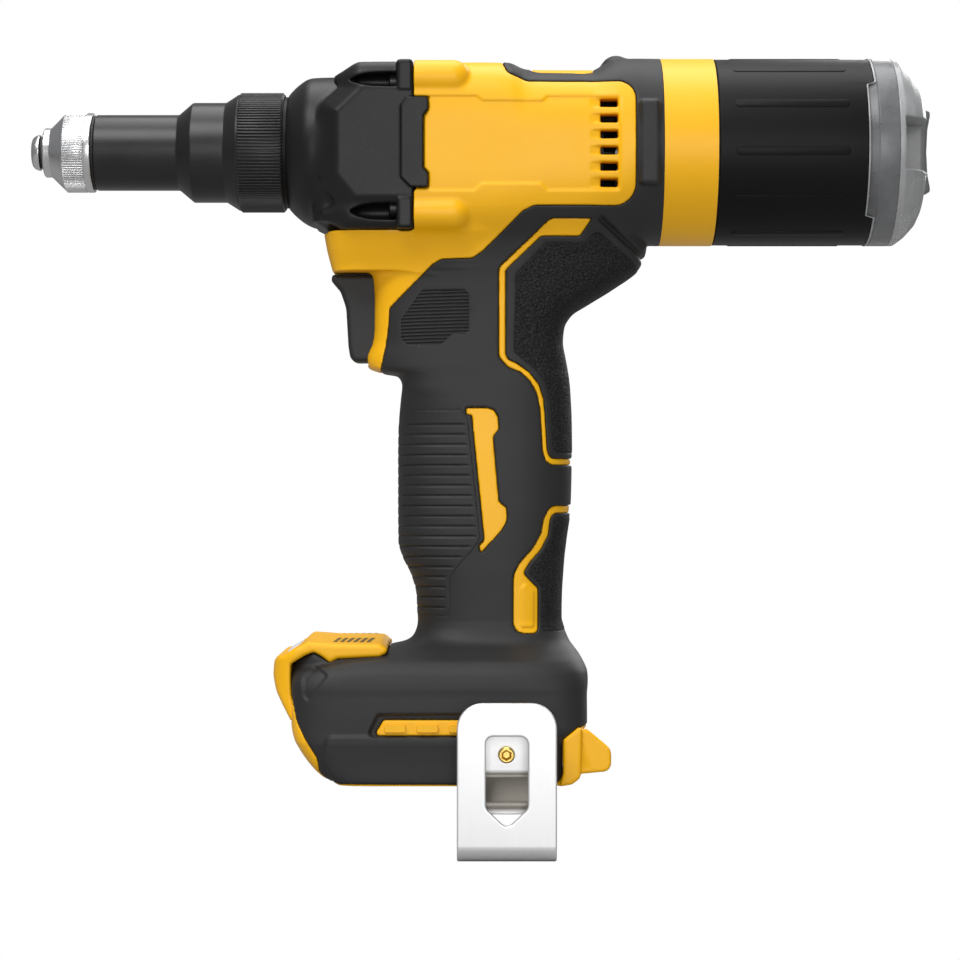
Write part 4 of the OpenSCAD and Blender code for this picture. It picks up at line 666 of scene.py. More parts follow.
foot = {
    "rows": [
        (-197.3, 97.6, 167.9, 33.4, 9), (-196.2, 94.4, 168.2, 33.6, 9), (-194.8, 91.9, 168.4, 33.8, 9),
        (-190.0, 87.3, 168.4, 34.0, 9),
        (-184.8, 84.0, 168.4, 34.4, 9), (-183.8, 83.5, 169.8, 34.5, 9), (-178.8, 82.3, 175.4, 34.5, 8),
        (-168.0, 81.8, 175.4, 34.1, 7),
        (-163.1, 83.2, 174.8, 32.4, 6), (-159.5, 92.1, 173.3, 29.6, 5), (-157.0, 108.0, 171.6, 25.0, 4.2),
        (-154.4, 118.4, 169.6, 20.2, 3.4), (-150.9, 122.4, 167.2, 17.0, 3.0), (-147.4, 126.0, 163.6, 13.6, 2.8)],
    "ledgeSink": (0.9, -162, 8),  # how far the side round the ledge goes in, start and length
    "ledge": [(95.0, -181.4), (166.5, -181.4), (168.5, -196.8), (97.5, -196.8), (93.4, -188.6)],
    "recess": [(107.2, -181.6), (110.4, -174.9), (164.0, -174.6), (164.0, -181.6)],
    "bar": [(109.4, -181.3), (112.2, -176.6), (163.0, -176.6), (163.0, -181.3)],
    "wedge": [(83.5, -172), (83.4, -160.2), (90.2, -156.4), (95.4, -159.0), (111.0, -157.6), (118, -172)],
    "wedgePlan": (83.4, 25.2, 9),  # front, half width, corner
    "corner": [(87.5, -164.0), (91.1, -160.6), (95.1, -163.0), (88.9, -170.9), (87.7, -169.2)],
    "tab": [(170.5, -193.4), (181.6, -192.4), (181.6, -185.6), (174.3, -179.5), (170.5, -179.5)],
    "band": [(165.6, -197.0), (169.6, -196.3), (172.2, -194.3), (172.6, -179.0), (171.4, -179.0), (166.8, -182.6),
             (166.8, -193.0)],
    "tabFaces": (28.5, 31.0), "bandFaces": (28.5, 32.6), "shortTab": 174.0,
    "cornerFrom": 18, "barFrom": 20,  # marks and bar are on the sides only
}
marks = {  # side outlines of what the rubber leaves free, front edge first
    "rubber": [
        (148.3, 60), (148.5, 25.4), (149.9, 21.9), (156.0, 19.2), (189.3, 19.2), (189.3, -19.0), (158.2, -19.0),
        (154.6, -20.7), (142.4, -32.5), (139.2, -34.7), (129.6, -35.0), (126.8, -36.6), (113.3, -50.0),
        (113.0, -55.8), (112.2, -61.7), (110.5, -69.3), (108.0, -73.0), (80.0, -73.0), (60.0, -157.0), (83.4, -157.6),
        (83.6, -169.3), (85.6, -177.4), (88.3, -182.7), (91.8, -188.2), (92.6, -193.0), (94.8, -195.0), (98.5, -196.1),
        (164.8, -196.3), (167.6, -193.0), (167.9, -182.4), (172.9, -178.7), (190, -179.4), (230, -60), (230, 60)],
    "upper": [
        (175.9, -22.9), (163.2, -22.9), (147.4, -37.6), (147.4, -65.3), (150.2, -68.4), (154.2, -70.0), (157.3, -73.0),
        (159.3, -76.8), (160.2, -81.5), (161.0, -94.6), (162.0, -97.7), (163.9, -98.8), (180, -98.8), (180, -96.9),
        (164.0, -96.9), (162.9, -96.1), (162.3, -94.2), (161.8, -86.0), (161.2, -78.4), (159.7, -73.8), (156.7, -70.1),
        (153.2, -67.5), (150.1, -66.1), (149.4, -64.5), (149.4, -38.4), (160.4, -28.0), (172.4, -28.0)],
    "pill": [(154.1, -137.2), (155.6, -135.6), (158.2, -138.4), (158.2, -149.2), (154.1, -149.2)],
    "lower": [
        (180, -111.5), (164.5, -111.5), (162.8, -112.6), (161.3, -115.6), (160.5, -120.1), (158.0, -124.6),
        (154.1, -128.9), (152.2, -132.3), (151.9, -134.5), (151.9, -148.4), (152.8, -150.3), (154.8, -151.1),
        (159.4, -151.1), (159.5, -137.3), (154.9, -132.6), (156.5, -129.6), (160.4, -125.1), (162.7, -120.6),
        (163.2, -116.2), (163.9, -114.4), (165.1, -113.8), (180, -113.8)],
    "strip": [
        (137.1, -81.1), (143.7, -81.1), (145.8, -81.8), (147.1, -84.1), (147.3, -87.7), (145.5, -90.1),
        (147.3, -110.3), (149.6, -112.1), (149.9, -115.1), (149.4, -117.0), (148.0, -119.3), (141.8, -126.2),
        (141.2, -123.9), (142.9, -122.1), (139.0, -83.4), (137.3, -83.2)],
    "upperPad": [
        (197.5, -41.5), (179.0, -26.6), (176.8, -26.2), (173.9, -29.3), (161.8, -29.4), (151.9, -39.4),
        (151.6, -64.0), (154.2, -66.3), (158.2, -69.3), (161.6, -73.6), (163.0, -80.1), (163.6, -93.0),
        (164.8, -95.6), (185, -95.6), (200, -50)],
    "seam": [(177.2, -23.2), (178.7, -21.5), (198.0, -37.1), (196.5, -38.8)],
    "lowerPad": [
        (180, -114.6), (165.3, -114.6), (164.6, -115.0), (163.9, -116.6), (163.4, -120.9), (161.0, -125.6),
        (157.1, -130.1), (156.0, -132.5), (160.2, -136.8), (160.2, -151.2), (180, -151.2)],
    "front": [
        (110, -86.2), (117.4, -85.2), (120.6, -81.4), (136.2, -81.4), (138.1, -84.2), (142.0, -122.0), (139.2, -126.0),
        (134.8, -130.8), (132.4, -134.6), (132.4, -143.9), (131.4, -146.2), (110, -146.2)],
    "patch": [
        (123.4, -43.9), (136.8, -43.9), (138.6, -45.6), (138.6, -58.2), (133.0, -58.8), (129.8, -62.0),
        (118.6, -62.0), (116.5, -60.0), (116.5, -53.4)],
    "panel": [
        (110, 14.3), (140.5, 14.3), (142.3, 12.8), (160.8, 12.8), (162.0, 14.3), (184.4, 14.3), (184.4, -14.6),
        (162.1, -14.6), (160.2, -12.5), (142.1, -12.5), (139.8, -14.6), (110, -14.6)],
}
vents = {"x0": 178.45, "x1": 183.85, "half": 1.35, "pitch": 4.9, "count": 6}
ventLevels = [(i - (vents["count"] - 1) / 2) * vents["pitch"] for i in range(vents["count"])]
shellScrews = [(99.2, -32.3, 15.8), (177.7, -33.3, 14.4), (122.1, -84.3, 13.0), (122.1, -117.6, 13.0),
               (93.9, -170.5, 24.8), (169.3, -170.5, 24.8)]  # along, up, depth of the head face
headRoom = 3.15  # radius of the holes for their heads
gearCase = {
    "rows": [  # station, radius of the round front
        (81.2, 17.7), (81.8, 18.5), (84.6, 21.2), (87.4, 23.0), (89.0, 23.4), (97.0, 23.7), (121.5, 24.6)],
    "side": [(97.3, -9.6), (97.3, 9.8), (105.4, 17.4), (121.0, 17.4), (121.0, -16.6), (103.0, -16.6)],
    "cap": [(106.2, -17.0), (106.2, 17.0), (121.0, 17.0), (121.0, -17.0)],
    "shoe": [(94.6, -15.0), (94.6, 15.0), (121.0, 18.5), (121.0, -18.5)],
    "reach": (26.9, 25.4), "drop": 0.6,  # half width, half height, how much lower the lower half is
    "lean": 1.3, "shoeLean": 1.95, "ramp": 5.3,  # steepness and length of the slopes
    "lobe": (20.2, 20.2), "lobeDrop": 1.5, "lobeStart": 96.5, "lobeEarly": 3.5,
    "lobeRows": [(95.5, 0.4), (98.5, 2.2), (105.2, 5.6), (112, 5.8)],  # station, radius
    "flange": (13.0, 27.3, 15.7, 25.7),
    "laneRows": [(101.0, 0.1), (105.0, 1.8), (109.0, 2.5), (115.0, 2.7)],  # room in front of a screw
    "laneStart": 101.4, "laneDrop": 1.3, "upperLane": 0.85,
    "tab": [(117.2, 11.4), (119.2, 13.9), (125.6, 13.9), (125.6, 10.3), (124.1, 8.2), (124.1, -7.9),
            (125.6, -9.5), (125.6, -13.7), (120.3, -13.7), (117.2, -10.6)],
    "tabFaces": (24.6, 28.3), "trench": (0.5, 27.2), "spigot": (118, 125.4, 21.9),
    "bores": ((90.1, 15.55), (92.1, 11.7), (130, 17.3)),  # end, radius
    "screws": 19.6, "seat": 115.8, "end": 121.0,
}


def caseField(g):
    above, below = g.z > 0, g.z < 0
    y, z = np.abs(g.y), np.abs(g.z)
    wide, high = gearCase["reach"]
    lean, reach = gearCase["lean"], gearCase["ramp"]
    first = np.sqrt(g.y**2 + g.z**2) - smoothRow(*zip(*gearCase["rows"]), g.x)
    first = np.maximum(first * 0.86, gearCase["rows"][0][0] - g.x)  # less, because the cone is steep
    side = sideField(gearCase["side"], g) - np.clip((wide - y) * lean, 0, reach)
    flat = cutSoft(y - wide, side / math.hypot(1, lean), 0.8)
    lower = z - np.where(below, gearCase["drop"], 0)
    plan = np.where(above, outlineField(gearCase["cap"], g.x, g.y), outlineField(gearCase["shoe"], g.x, g.y))
    plan = plan - np.clip((high - lower) * np.where(above, lean, gearCase["shoeLean"]), 0, reach)
    top = cutSoft(lower - high, plan / math.hypot(1, lean), 0.8)
    across, up = gearCase["lobe"]
    early = np.where(below, gearCase["lobeEarly"], 0)
    sink = np.where(below, gearCase["lobeDrop"], 0)
    lobe = np.sqrt((y - across)**2 + (z - sink - up)**2) - smoothRow(*zip(*gearCase["lobeRows"]), g.x + early)
    lobe = np.maximum(lobe, gearCase["lobeStart"] - g.x - early)
    d = joinSoft(joinSoft(joinSoft(first, flat, 1.6), top, 1.6), lobe, 2.2)
    d = allOf(d, g.x - gearCase["end"], lower - high - 0.05)
    flange = boxField(gearCase["seat"], gearCase["end"], *gearCase["flange"], Axes(g.x, y, lower), 1.2)
    return np.minimum(d, flange)


def caseCuts(d, g):
    above = g.z > 0
    y, z, r = np.abs(g.y), np.abs(g.z), np.sqrt(g.y**2 + g.z**2)
    p = gearCase["screws"]
    widen = smoothRow(*zip(*gearCase["laneRows"]), g.x) * np.where(above, gearCase["upperLane"], 1)
    level = p + np.where(above, 0, gearCase["laneDrop"])
    lane = np.sqrt(np.minimum(y - p, 0)**2 + (z - level)**2) - widen
    start = gearCase["laneStart"] - g.x + 0.5 * np.maximum(p + 3 - y, 0)
    d = cutSoft(d, -cutSoft(lane, np.maximum(start, g.x - gearCase["seat"]), 0.8), 0.6)
    gap, bed = gearCase["trench"]
    d = np.maximum(d, -np.maximum(sideField(gearCase["tab"], g) - gap, bed - y))
    d = np.minimum(d, np.maximum(markField(gearCase["tab"], 0.8, g), between(y, *gearCase["tabFaces"])))
    x0, x1, size = gearCase["spigot"]
    d = np.minimum(d, np.maximum(r - size, between(g.x, x0, x1)))
    start = 0
    for end, size in gearCase["bores"]:
        d = np.where((g.x >= start) & (g.x < end), np.maximum(d, size - r), d)
        start = end
    return d


def bodyField(g):
    y, z = np.abs(g.y), np.abs(g.z)
    d = loftField(g, barrel["rows"], "x")
    across, up, size, end = barrel["boss"]
    z = z - np.where(g.z < 0, barrel["drop"], 0)
    boss = np.sqrt(np.maximum(g.x - end, 0)**2 + (y - across)**2 + (z - up)**2) - size
    d = joinSoft(d, np.maximum(boss, neck["rear"] - g.x), 1.0)
    at, half, up, size = barrel["bump"]
    bump = np.sqrt((g.x - at)**2 + np.maximum(y - half, 0)**2 + (g.z - up)**2) - size
    d = joinSoft(d, bump, 0.8)
    x0, x1, wide, high = barrel["sidePad"]
    d = joinSoft(d, boxField(x0, x1, -wide, wide, -high, high, g, 1.3), 0.8)
    soft, tight, start, run = handle["join"]
    d = joinSoft(d, loftField(g, handle["rows"], "z"), soft + (tight - soft) * ramp((g.x - start) / run))
    d = joinSoft(d, loftField(g, neck["rows"], "z"), 2.4)
    sink, start, run = neck["lip"]
    top = neck["top"] - sink * ramp((start - g.x) / run)
    d = np.maximum(d, -np.maximum(g.x - neck["rear"], top - g.z))
    sink, start, run = foot["ledgeSink"]
    around = 1 - ramp(0.5 - markField(foot["ledge"], 2.5, g))
    d = joinSoft(d, loftField(g, foot["rows"], "z") + sink * around * ramp((start - g.z) / run), 3.0)
    wedge = cutSoft(sideField(foot["wedge"], g), frontPlan(g, *foot["wedgePlan"]), 2.0)
    return joinSoft(d, wedge, 2.0)


def screwHoles(grid, screws):
    holes = far
    for x, z, depth in screws:
        away = np.sqrt((grid.x - x)**2 + (grid.z - z)**2)
        holes = np.minimum(holes, np.maximum(away - headRoom, depth - grid.y))
    return holes


g = Grid((74, -1.5, -198), (200, 36.5, 33), 0.5, 0.9)
outer = bodyField(g)
nearCase = caseField(g)
print("body form", outer.shape)

# Rubber lies in a recess of the shell and stands a little proud of it
tuck = {"rubber": 1.7, "line": 0.3, "proud": 0.2, "gap": 0.08, "pad": 0.9, "padEdge": 1.1, "padSlope": 3,
        "patchFrom": 6, "skin": 1.1}
rubberCorners = [0, 3.5, 3, 3, 5.5, 6.5, 3.5, 3, 3, 3, 2.5, 2.5, 2.5, 9, 9, 2] + [0] * 11 + [2.5, 2.5, 1.5] + [0] * 4
lineCorners = [0.3, 3, 2.5, 3] + [1.6] * 21 + [2.5, 1.8]
roof = {"x0": 157.6, "x1": 176.8, "half": 17.4, "corner": 3.0, "from": 150, "above": 15, "raised": 0.6}
rubberShape = markField(marks["rubber"], rubberCorners, g, 6)
roofPlan = rounded([(roof["x0"], 0), (roof["x1"], 0), (roof["x1"], roof["half"]), (roof["x0"], roof["half"])],
                   [0, 0, roof["corner"], roof["corner"]])
roofShape = np.maximum(outlineField(roofPlan, g.x, g.y), -0.3 - g.y)
gaps = anyOf(markField(marks["upper"], lineCorners, g), markField(marks["lower"], 1.4, g),
             markField(marks["strip"], 0.35, g), np.where(g.y > foot["barFrom"], markField(foot["bar"], 0.8, g), far),
             np.where(g.z > roof["above"], roofShape, far))
padShape = np.minimum(markField(marks["upperPad"], 1.4, g), markField(marks["lowerPad"], 1.0, g))
frontShape = markField(marks["front"], 1.4, g)
patchShape = markField(marks["patch"], 1.0, g)

insert = {"x": 149.54, "z": -186.79, "radius": 3.3, "from": 28}
room = {"case": 0.25, "tab": 0.35, "tabBack": 24.2, "light": 0.2}  # air round what is let into the shell
hollow = {
    "bore": np.sqrt(g.y**2 + g.z**2) - barrel["bore"],
    "trigger": boxField(80, 152.4, -7.3, 7.3, -65.0, -38.3, g),
    "fin": boxField(80, 127.2, -7.3, 7.3, -67.4, -38.3, g),
    "channel": boxField(130.0, 160.6, -7.3, 7.3, -163, -64.0, g),
    "leads": boxField(152, 160.6, -7.3, 7.3, -66, -13, g),
    "module": boxField(102.0, 164.5, -23.8, 23.8, -176.7, -161.6, g),
    "slot": boxField(99.6, 240, -28.5, 28.5, -191, -182, g),
    "mouth": boxField(99.6, 240, -24.5, 24.5, -220, -182, g),
    "insert": np.maximum(np.sqrt((g.x - insert["x"])**2 + (g.z - insert["z"])**2) - insert["radius"],
                         insert["from"] - g.y),
    "case": nearCase - room["case"],
    "tab": np.maximum(sideField(gearCase["tab"], g) - room["tab"], room["tabBack"] - g.y),
}
spaces = anyOf(*hollow.values())
for level in ventLevels:
    slot = boxField(vents["x0"], vents["x1"], 5, 40, level - vents["half"], level + vents["half"], g, 0.2)
    spaces = np.minimum(spaces, slot)
mid = 0.04 - g.y

# Shallow label panel and the slopes that lead into the vents
relief = {"panel": 0.55, "vent": 0.8, "ventFrom": 175.0, "ventRun": 3.4, "ventEnd": 184, "ventHalf": 1.5, "from": 15,
          "pill": 0.45, "corner": 0.6, "recess": 1.1, "seam": 1.3}
sunk = relief["panel"] * ramp(0.5 - markField(marks["panel"], 0.8, g) / 0.9)
slope = relief["vent"] * np.clip((g.x - relief["ventFrom"]) / relief["ventRun"], 0, 1) * (g.x < relief["ventEnd"])
for level in ventLevels:
    sunk = sunk + slope * ramp((relief["ventHalf"] - np.abs(g.z - level)) / 0.5)
sunk = np.where(g.y > relief["from"], sunk, 0)

light = {
    "outline": [(83.2, -177.4), (78.5, -168.8), (76.8, -163.6), (77.6, -159.2), (79.4, -157.5), (81.0, -157.4),
                (85.8, -154.4), (88.6, -151.7), (96.9, -152.3), (111.0, -152.4), (113.2, -154.4), (112.6, -156.6),
                (110.6, -157.9), (97.8, -158.5), (95.4, -159.8), (90.4, -155.8), (83.4, -160.1), (83.3, -164.1),
                (83.6, -169.5), (85.5, -177.8)],
    "corners": [0, 5, 4, 2, 1, 0.5, 2, 1.2, 6, 2.2, 1.6, 1.6, 1.6, 1, 0.4, 0.9, 1.2, 3, 4, 0],
    "plan": (77.2, 26.0, 9.0),  # front, half width, corner
    "crown": 1.7, "crownFrom": (84, -158), "top": -152.3,
    "bed": ((80.6, -157.8), (86.0, -154.3)), "bedHalf": 14.6, "bedDepth": 2.6, "bedEnds": 0.8,
    "lensEnds": 1.0, "lensSides": 0.2, "lensBack": 0.1, "lensFace": 0.45, "lensBulge": 0.0012,
    "behind": 117, "above": -147,  # nothing of it reaches past these
    "slots": (96.1, 2.05, 6), "slotRows": (21.8, 19.6, 17.4, 15.2, 13), "slotLean": 0.15, "slotWide": 1.2,
    "slotDeep": 0.8, "slotProud": 0.06,
}


def lightField(g):
    front, half, corner = light["plan"]
    x0, z0 = light["crownFrom"]
    crown = light["crown"] * (g.y / half)**2 * ramp((g.z - z0) / 4) * ramp((g.x - x0) / 6)
    side = outlineField(rounded(light["outline"], light["corners"], 3), g.x, g.z + crown)
    return cutSoft(side, frontPlan(g, front, half, corner), 1.6)


lightRoom = np.full(outer.shape, far, np.float32)
near = Axes(g.x[g.x[:, 0, 0] < light["behind"]], g.y, g.z[:, :, g.z[0, 0] < light["above"]])
lightRoom[:near.x.size, :, :near.z.size] = lightField(near) - room["light"]
tab = cutSoft(markField(foot["tab"], [0, 2.6, 4.0, 0.8, 0], g), between(g.y, *foot["tabFaces"]), 1.0)
band = cutSoft(markField(foot["band"], [0, 2, 2, 0.6, 0.4, 1, 0], g), between(g.y, *foot["bandFaces"]), 1.0)
tail = np.minimum(tab, band)
shortTail = np.minimum(np.maximum(tab, g.x - foot["shortTab"]), band)  # only the left one stands out
raised = relief["pill"] * ramp(0.5 - markField(marks["pill"], 0.7, g) / 0.7)
raised = raised + np.where((g.z > roof["above"]) & (g.x > roof["from"]), roof["raised"], 0)
cornerDip = relief["corner"] * ramp(0.5 - markField(foot["corner"], 0.8, g) / 0.8)
recessDip = relief["recess"] * ramp(0.5 - markField(foot["recess"], 1.2, g) / 0.6)
dip = np.where(g.y > foot["cornerFrom"], cornerDip, 0) + np.where(g.y > foot["barFrom"], recessDip, 0)
dip = dip + np.clip(-relief["seam"] * sideField(marks["seam"], g), 0, relief["seam"])
shell = anyOf(np.maximum(outer + sunk, -rubberShape), np.maximum(outer + tuck["line"] - raised, gaps),
              outer + tuck["rubber"] + dip)
inside = allOf(mid, -spaces, -lightRoom)
holes = screwHoles(g, shellScrews)
bothSides("shell", np.maximum(np.minimum(shell, tail), inside), allOf(np.minimum(shell, shortTail), inside, -holes),
          g, "yellow_plastic", "yellow_plastic", "housing")

seats = anyOf(padShape, frontShape, np.where(g.y > tuck["patchFrom"], patchShape, far))
seatFloor = outer + tuck["pad"] - tuck["padSlope"] * np.maximum(seats + tuck["padEdge"], 0)
proud = np.maximum(outer + dip - tuck["proud"], seatFloor)
edge = np.maximum(rubberShape, -gaps) + tuck["gap"]
under = -(outer + dip + tuck["rubber"] - 0.15)
gripForm = allOf(cutSoft(proud, edge, 0.45), under, mid, -spaces, -np.minimum(lightRoom, tail - 0.1))
bothSides("grip_skin", gripForm, np.maximum(gripForm, -holes), g, "black_rubber", "black_rubber", "grip")
pad = {"proud": 0.32, "edge": 0.5, "bevel": 0.9}
padFace = outer - pad["proud"] + pad["edge"] * ramp((padShape + pad["bevel"]) / pad["bevel"])
padForm = allOf(padFace, padShape, -(outer + tuck["skin"]), mid, -spaces)
bothSides("palm_pads", padForm, np.maximum(padForm, -holes), g, "palm", "black_rubber")
print("body skins made")

# Ribbed front of the grip and the small ribbed patch above it, on finer grids
frontRibs = {"first": -86.3, "pitch": 3.16, "half": 0.4, "depth": 0.55, "span": (-145, -84.8),
             "proud": 0.3, "edge": 0.45, "bevel": 0.8, "rim": (4.6, 0.7)}  # rim: radius, height over the screw
frontGrid = Grid((112, -1.2, -149), (145, 20.4, -79), 0.36, 0.6)
frontBody = joinSoft(loftField(frontGrid, handle["rows"], "z"), loftField(frontGrid, foot["rows"], "z"), 3.0)
frontEdge = markField(marks["front"], 1.4, frontGrid)
wave = (frontGrid.z - frontRibs["first"]) / frontRibs["pitch"]
wave = np.abs(wave - np.round(wave)) * frontRibs["pitch"]
groove = frontRibs["depth"] * ramp((frontRibs["half"] - wave) / 0.35) * ramp((-1.0 - frontEdge) / 1.6)
groove = groove * (0.35 + 0.65 * ramp((frontGrid.y - 3) / 7))  # shallow round the front
groove = groove * (between(frontGrid.z, *frontRibs["span"]) < 0)
frontFace = frontBody - frontRibs["proud"] + groove
frontFace = frontFace + frontRibs["edge"] * ramp((frontEdge + frontRibs["bevel"]) / frontRibs["bevel"])
frontUnder = -(frontBody + tuck["skin"])
frontForm = allOf(frontFace, frontEdge, frontUnder, 0.04 - frontGrid.y)
screwed = frontForm
for x, z, depth in shellScrews[2:4]:
    size, over = frontRibs["rim"]
    away = np.sqrt((frontGrid.x - x)**2 + (frontGrid.z - z)**2)
    screwed = np.minimum(screwed, np.maximum(cutSoft(away - size, frontGrid.y - depth - over, 0.8), frontUnder))
screwed = np.maximum(screwed, -screwHoles(frontGrid, shellScrews[2:4]))
bothSides("front_grip", frontForm, screwed, frontGrid, "black_rubber", "black_rubber")

patchRibs = {"pitch": 1.08, "depth": 0.6, "lean": 0.03, "proud": 0.28, "from": 8.0}
patchGrid = Grid((114, 7, -64), (141, 19.5, -42), 0.22, 0.4)
patchBody = loftField(patchGrid, handle["rows"], "z")
wave = 0.5 + 0.5 * np.cos((patchGrid.z - patchRibs["lean"] * patchGrid.x) * 2 * math.pi / patchRibs["pitch"])
patchForm = allOf(patchBody - patchRibs["proud"] + patchRibs["depth"] * wave, markField(marks["patch"], 1.0, patchGrid),
                  -(patchBody + tuck["skin"]), patchRibs["from"] - patchGrid.y)
bothSides("thumb_patch", patchForm, patchForm, patchGrid, "black_rubber", "black_rubber")

caseGrid = Grid((80.2, -29.5, -30), (127, 29.5, 30), 0.45, 0.8)
caseForm = caseCuts(caseField(caseGrid), caseGrid)
netPiece("gear_case_cast", caseForm, caseGrid, "black_case", "tool", "black_case", "gear_case")
caseScrew = {"head": 3.0, "high": 2.4, "socket": 1.5, "floor": 1, "shank": 1.7, "long": 8}


def screwMesh(name, s, seat):
    # cap screw along +X with a six-sided socket, its seat at the given place
    sides, sixth, deep, bevel = 24, math.pi / 3, 1.4, 0.4
    turns = [2 * math.pi * k / sides for k in range(sides)]
    hexagon = [s["socket"] / math.cos((t + sixth / 2) % sixth - sixth / 2) for t in turns]
    floor = [r * s["floor"] for r in hexagon]
    middle, rim, head, shank = ([r] * sides for r in (0.3, s["head"] - bevel, s["head"], s["shank"]))
    top = seat - s["high"]
    rings = [(top + deep, middle), (top + deep, floor), (top, hexagon), (top, rim), (top + bevel, head),
             (seat, head), (seat, shank), (seat + s["long"], shank)]
    return barMesh(name, [[(x, r * math.cos(t), r * math.sin(t)) for r, t in zip(ring, turns)] for x, ring in rings])


q = gearCase["screws"]
places = newObject("places", meshFromArrays("places", [(0, a * q, b * q) for a in (-1, 1) for b in (-1, 1)], []))
repeated("case_screws", onPoints, screwMesh("screw", caseScrew, gearCase["seat"]), "black_steel", "tool",
         "black_steel", "gear_case_screws", Points=places)
bpy.data.objects.remove(places)
print("gear case made")

# Work light
lightGrid = Grid((76, -27, -179), (115, 27, -149), 0.4, 0.7)
(ax, az), (bx, bz) = light["bed"]
length = math.hypot(bx - ax, bz - az)
ux, uz = (bx - ax) / length, (bz - az) / length
along = (lightGrid.x - ax) * ux + (lightGrid.z - az) * uz
depth = (lightGrid.x - ax) * uz - (lightGrid.z - az) * ux
across = np.abs(lightGrid.y) - light["bedHalf"]
bed = allOf(between(along, light["bedEnds"], length - light["bedEnds"]), across, depth - light["bedDepth"])
lightForm = np.maximum(lightField(lightGrid), -bed)
netPiece("light_shell", lightForm, lightGrid, "yellow_plastic", "tool", "yellow_plastic", "light_housing")
lens = cutSoft(between(along, light["lensEnds"], length - light["lensEnds"]), across + light["lensSides"], 0.8)
lensFace = light["lensBulge"] * lightGrid.y**2 - light["lensFace"] - depth
lens = cutSoft(np.maximum(lens, depth - light["bedDepth"] + light["lensBack"]), lensFace, 0.5)
netPiece("light_window", lens, lightGrid, "lens", "tool", "lens", "light_lens")


def facing(outline, side):
    # turned over on the right, so that its faces point outwards
    return outline if side < 0 else outline[::-1]


sides = ((-1, "left"), (1, "right"))
# dark bars fill the slots on the light's top, their colour is painted shade
first, step, count = light["slots"]
for side, label in sides:
    layers = []
    for y in light["slotRows"]:
        middle = light["top"] - light["crown"] * (y / light["plan"][1])**2
        x0 = first + (light["slotRows"][0] - y) * light["slotLean"]
        x1, high, low = x0 + light["slotWide"], middle + light["slotProud"], middle - light["slotDeep"]
        outline = facing([(x0, high), (x1, high), (x1, low), (x0, low)], side)
        layers.append([(x, side * y, z) for x, z in outline])
    repeated("light_slots_" + label, alongLine, barMesh("slot", layers), "slot_shade_paint", "tool", "yellow_plastic",
             Count=count, Step=(step * mm, 0, 0))

# Trigger
trigger = {
    "outline": [(95.0, -38.95), (120.7, -38.95), (120.7, -64.1), (107.0, -66.4), (100.9, -66.5), (100.1, -61.5),
                (99.8, -56.3), (99.4, -49.5), (97.6, -44.2), (94.75, -40.9)],
    "corners": [0.8, 0, 0, 4, 2.6, 4, 9, 9, 6, 1.0],
    "half": 6.95, "edge": 1.8, "socket": (114.5, -52.9, 2.6),  # from, up, radius
}
triggerGrid = Grid((93.5, -7.8, -67.2), (121.8, 7.8, -37.9), 0.32, 0.6)
triggerSide = markField(trigger["outline"], trigger["corners"], triggerGrid)
triggerForm = cutSoft(triggerSide, np.abs(triggerGrid.y) - trigger["half"], trigger["edge"])
start, level, size = trigger["socket"]
socket = np.maximum(np.sqrt(triggerGrid.y**2 + (triggerGrid.z - level)**2) - size, start - triggerGrid.x)
netPiece("trigger_moulded", np.maximum(triggerForm, -socket), triggerGrid, "black_rubber", "trigger", "black_plastic",
         "trigger")

# Belt hook bent from one strip
hook = {
    "path": [(35.45, -177.2), (35.45, -193.6), (39.4, -201.2), (39.4, -217.0), (48.25, -217.0), (48.25, -169.6)],
    "bends": [0, 3, 3, 2.6, 3.9, 0], "thick": 1.8, "x": 149.53,
    "half": 14.95, "top": -170.1, "bottom": -240, "corner": 7.7,
    "window": [(-6.3, -180.1), (6.3, -180.1), (6.3, -201.6), (0, -207.6), (-6.3, -201.6)],
    "windowCorners": [2.2, 2.2, 3, 2.2, 3], "windowFrom": -44.5,  # through the outer leg only
    "slot": (6.2, -44, -36, -213.8, -204.4),  # half width, then the box across and up
    "hole": (-186.79, 2.35), "holeFrom": -42,  # through the inner leg only
}
hookGrid = Grid((133.8, -51.5, -218.6), (165.3, -33.8, -169.2), 0.33, 0.7)
aside = hookGrid.x - hook["x"]
sheet = pathField(rounded(hook["path"], hook["bends"], 8), -hookGrid.y, hookGrid.z) - hook["thick"] / 2
half, top, bottom, corner = hook["half"], hook["top"], hook["bottom"], hook["corner"]
face = rounded([(-half, bottom), (half, bottom), (half, top), (-half, top)], [0, 0, corner, corner], 9)
hookForm = cutSoft(sheet, outlineField(face, aside, hookGrid.z), 0.3)
opening = outlineField(rounded(hook["window"], hook["windowCorners"]), aside, hookGrid.z)
hookForm = cutSoft(hookForm, -np.maximum(opening, hookGrid.y - hook["windowFrom"]), 0.35)
half, *box = hook["slot"]
slot = boxField(hook["x"] - half, hook["x"] + half, *box, hookGrid, 0.8)
level, size = hook["hole"]
hole = np.maximum(np.sqrt(aside**2 + (hookGrid.z - level)**2) - size, hook["holeFrom"] - hookGrid.y)
hookForm = allOf(hookForm, -slot, -hole)
netPiece("belt_hook_sheet", hookForm, hookGrid, "hook_steel", "tool", "bright_steel", "belt_hook")
hookScrew = {"head": 2.45, "high": 1.5, "socket": 1.5, "floor": 0.6, "shank": 1.9, "long": 9}
turned = screwMesh("hook_screw", hookScrew, 0)
seat = hook["path"][0][0] + hook["thick"] / 2 + 0.05
for v in turned.data.vertices:
    x, y, z = v.co
    v.co = (hook["x"] * mm - y, x - seat * mm, level * mm + z)
finishPiece(turned, "brass", "tool", "brass", "belt_hook_screw").data.set_sharp_from_angle(angle=math.radians(40))

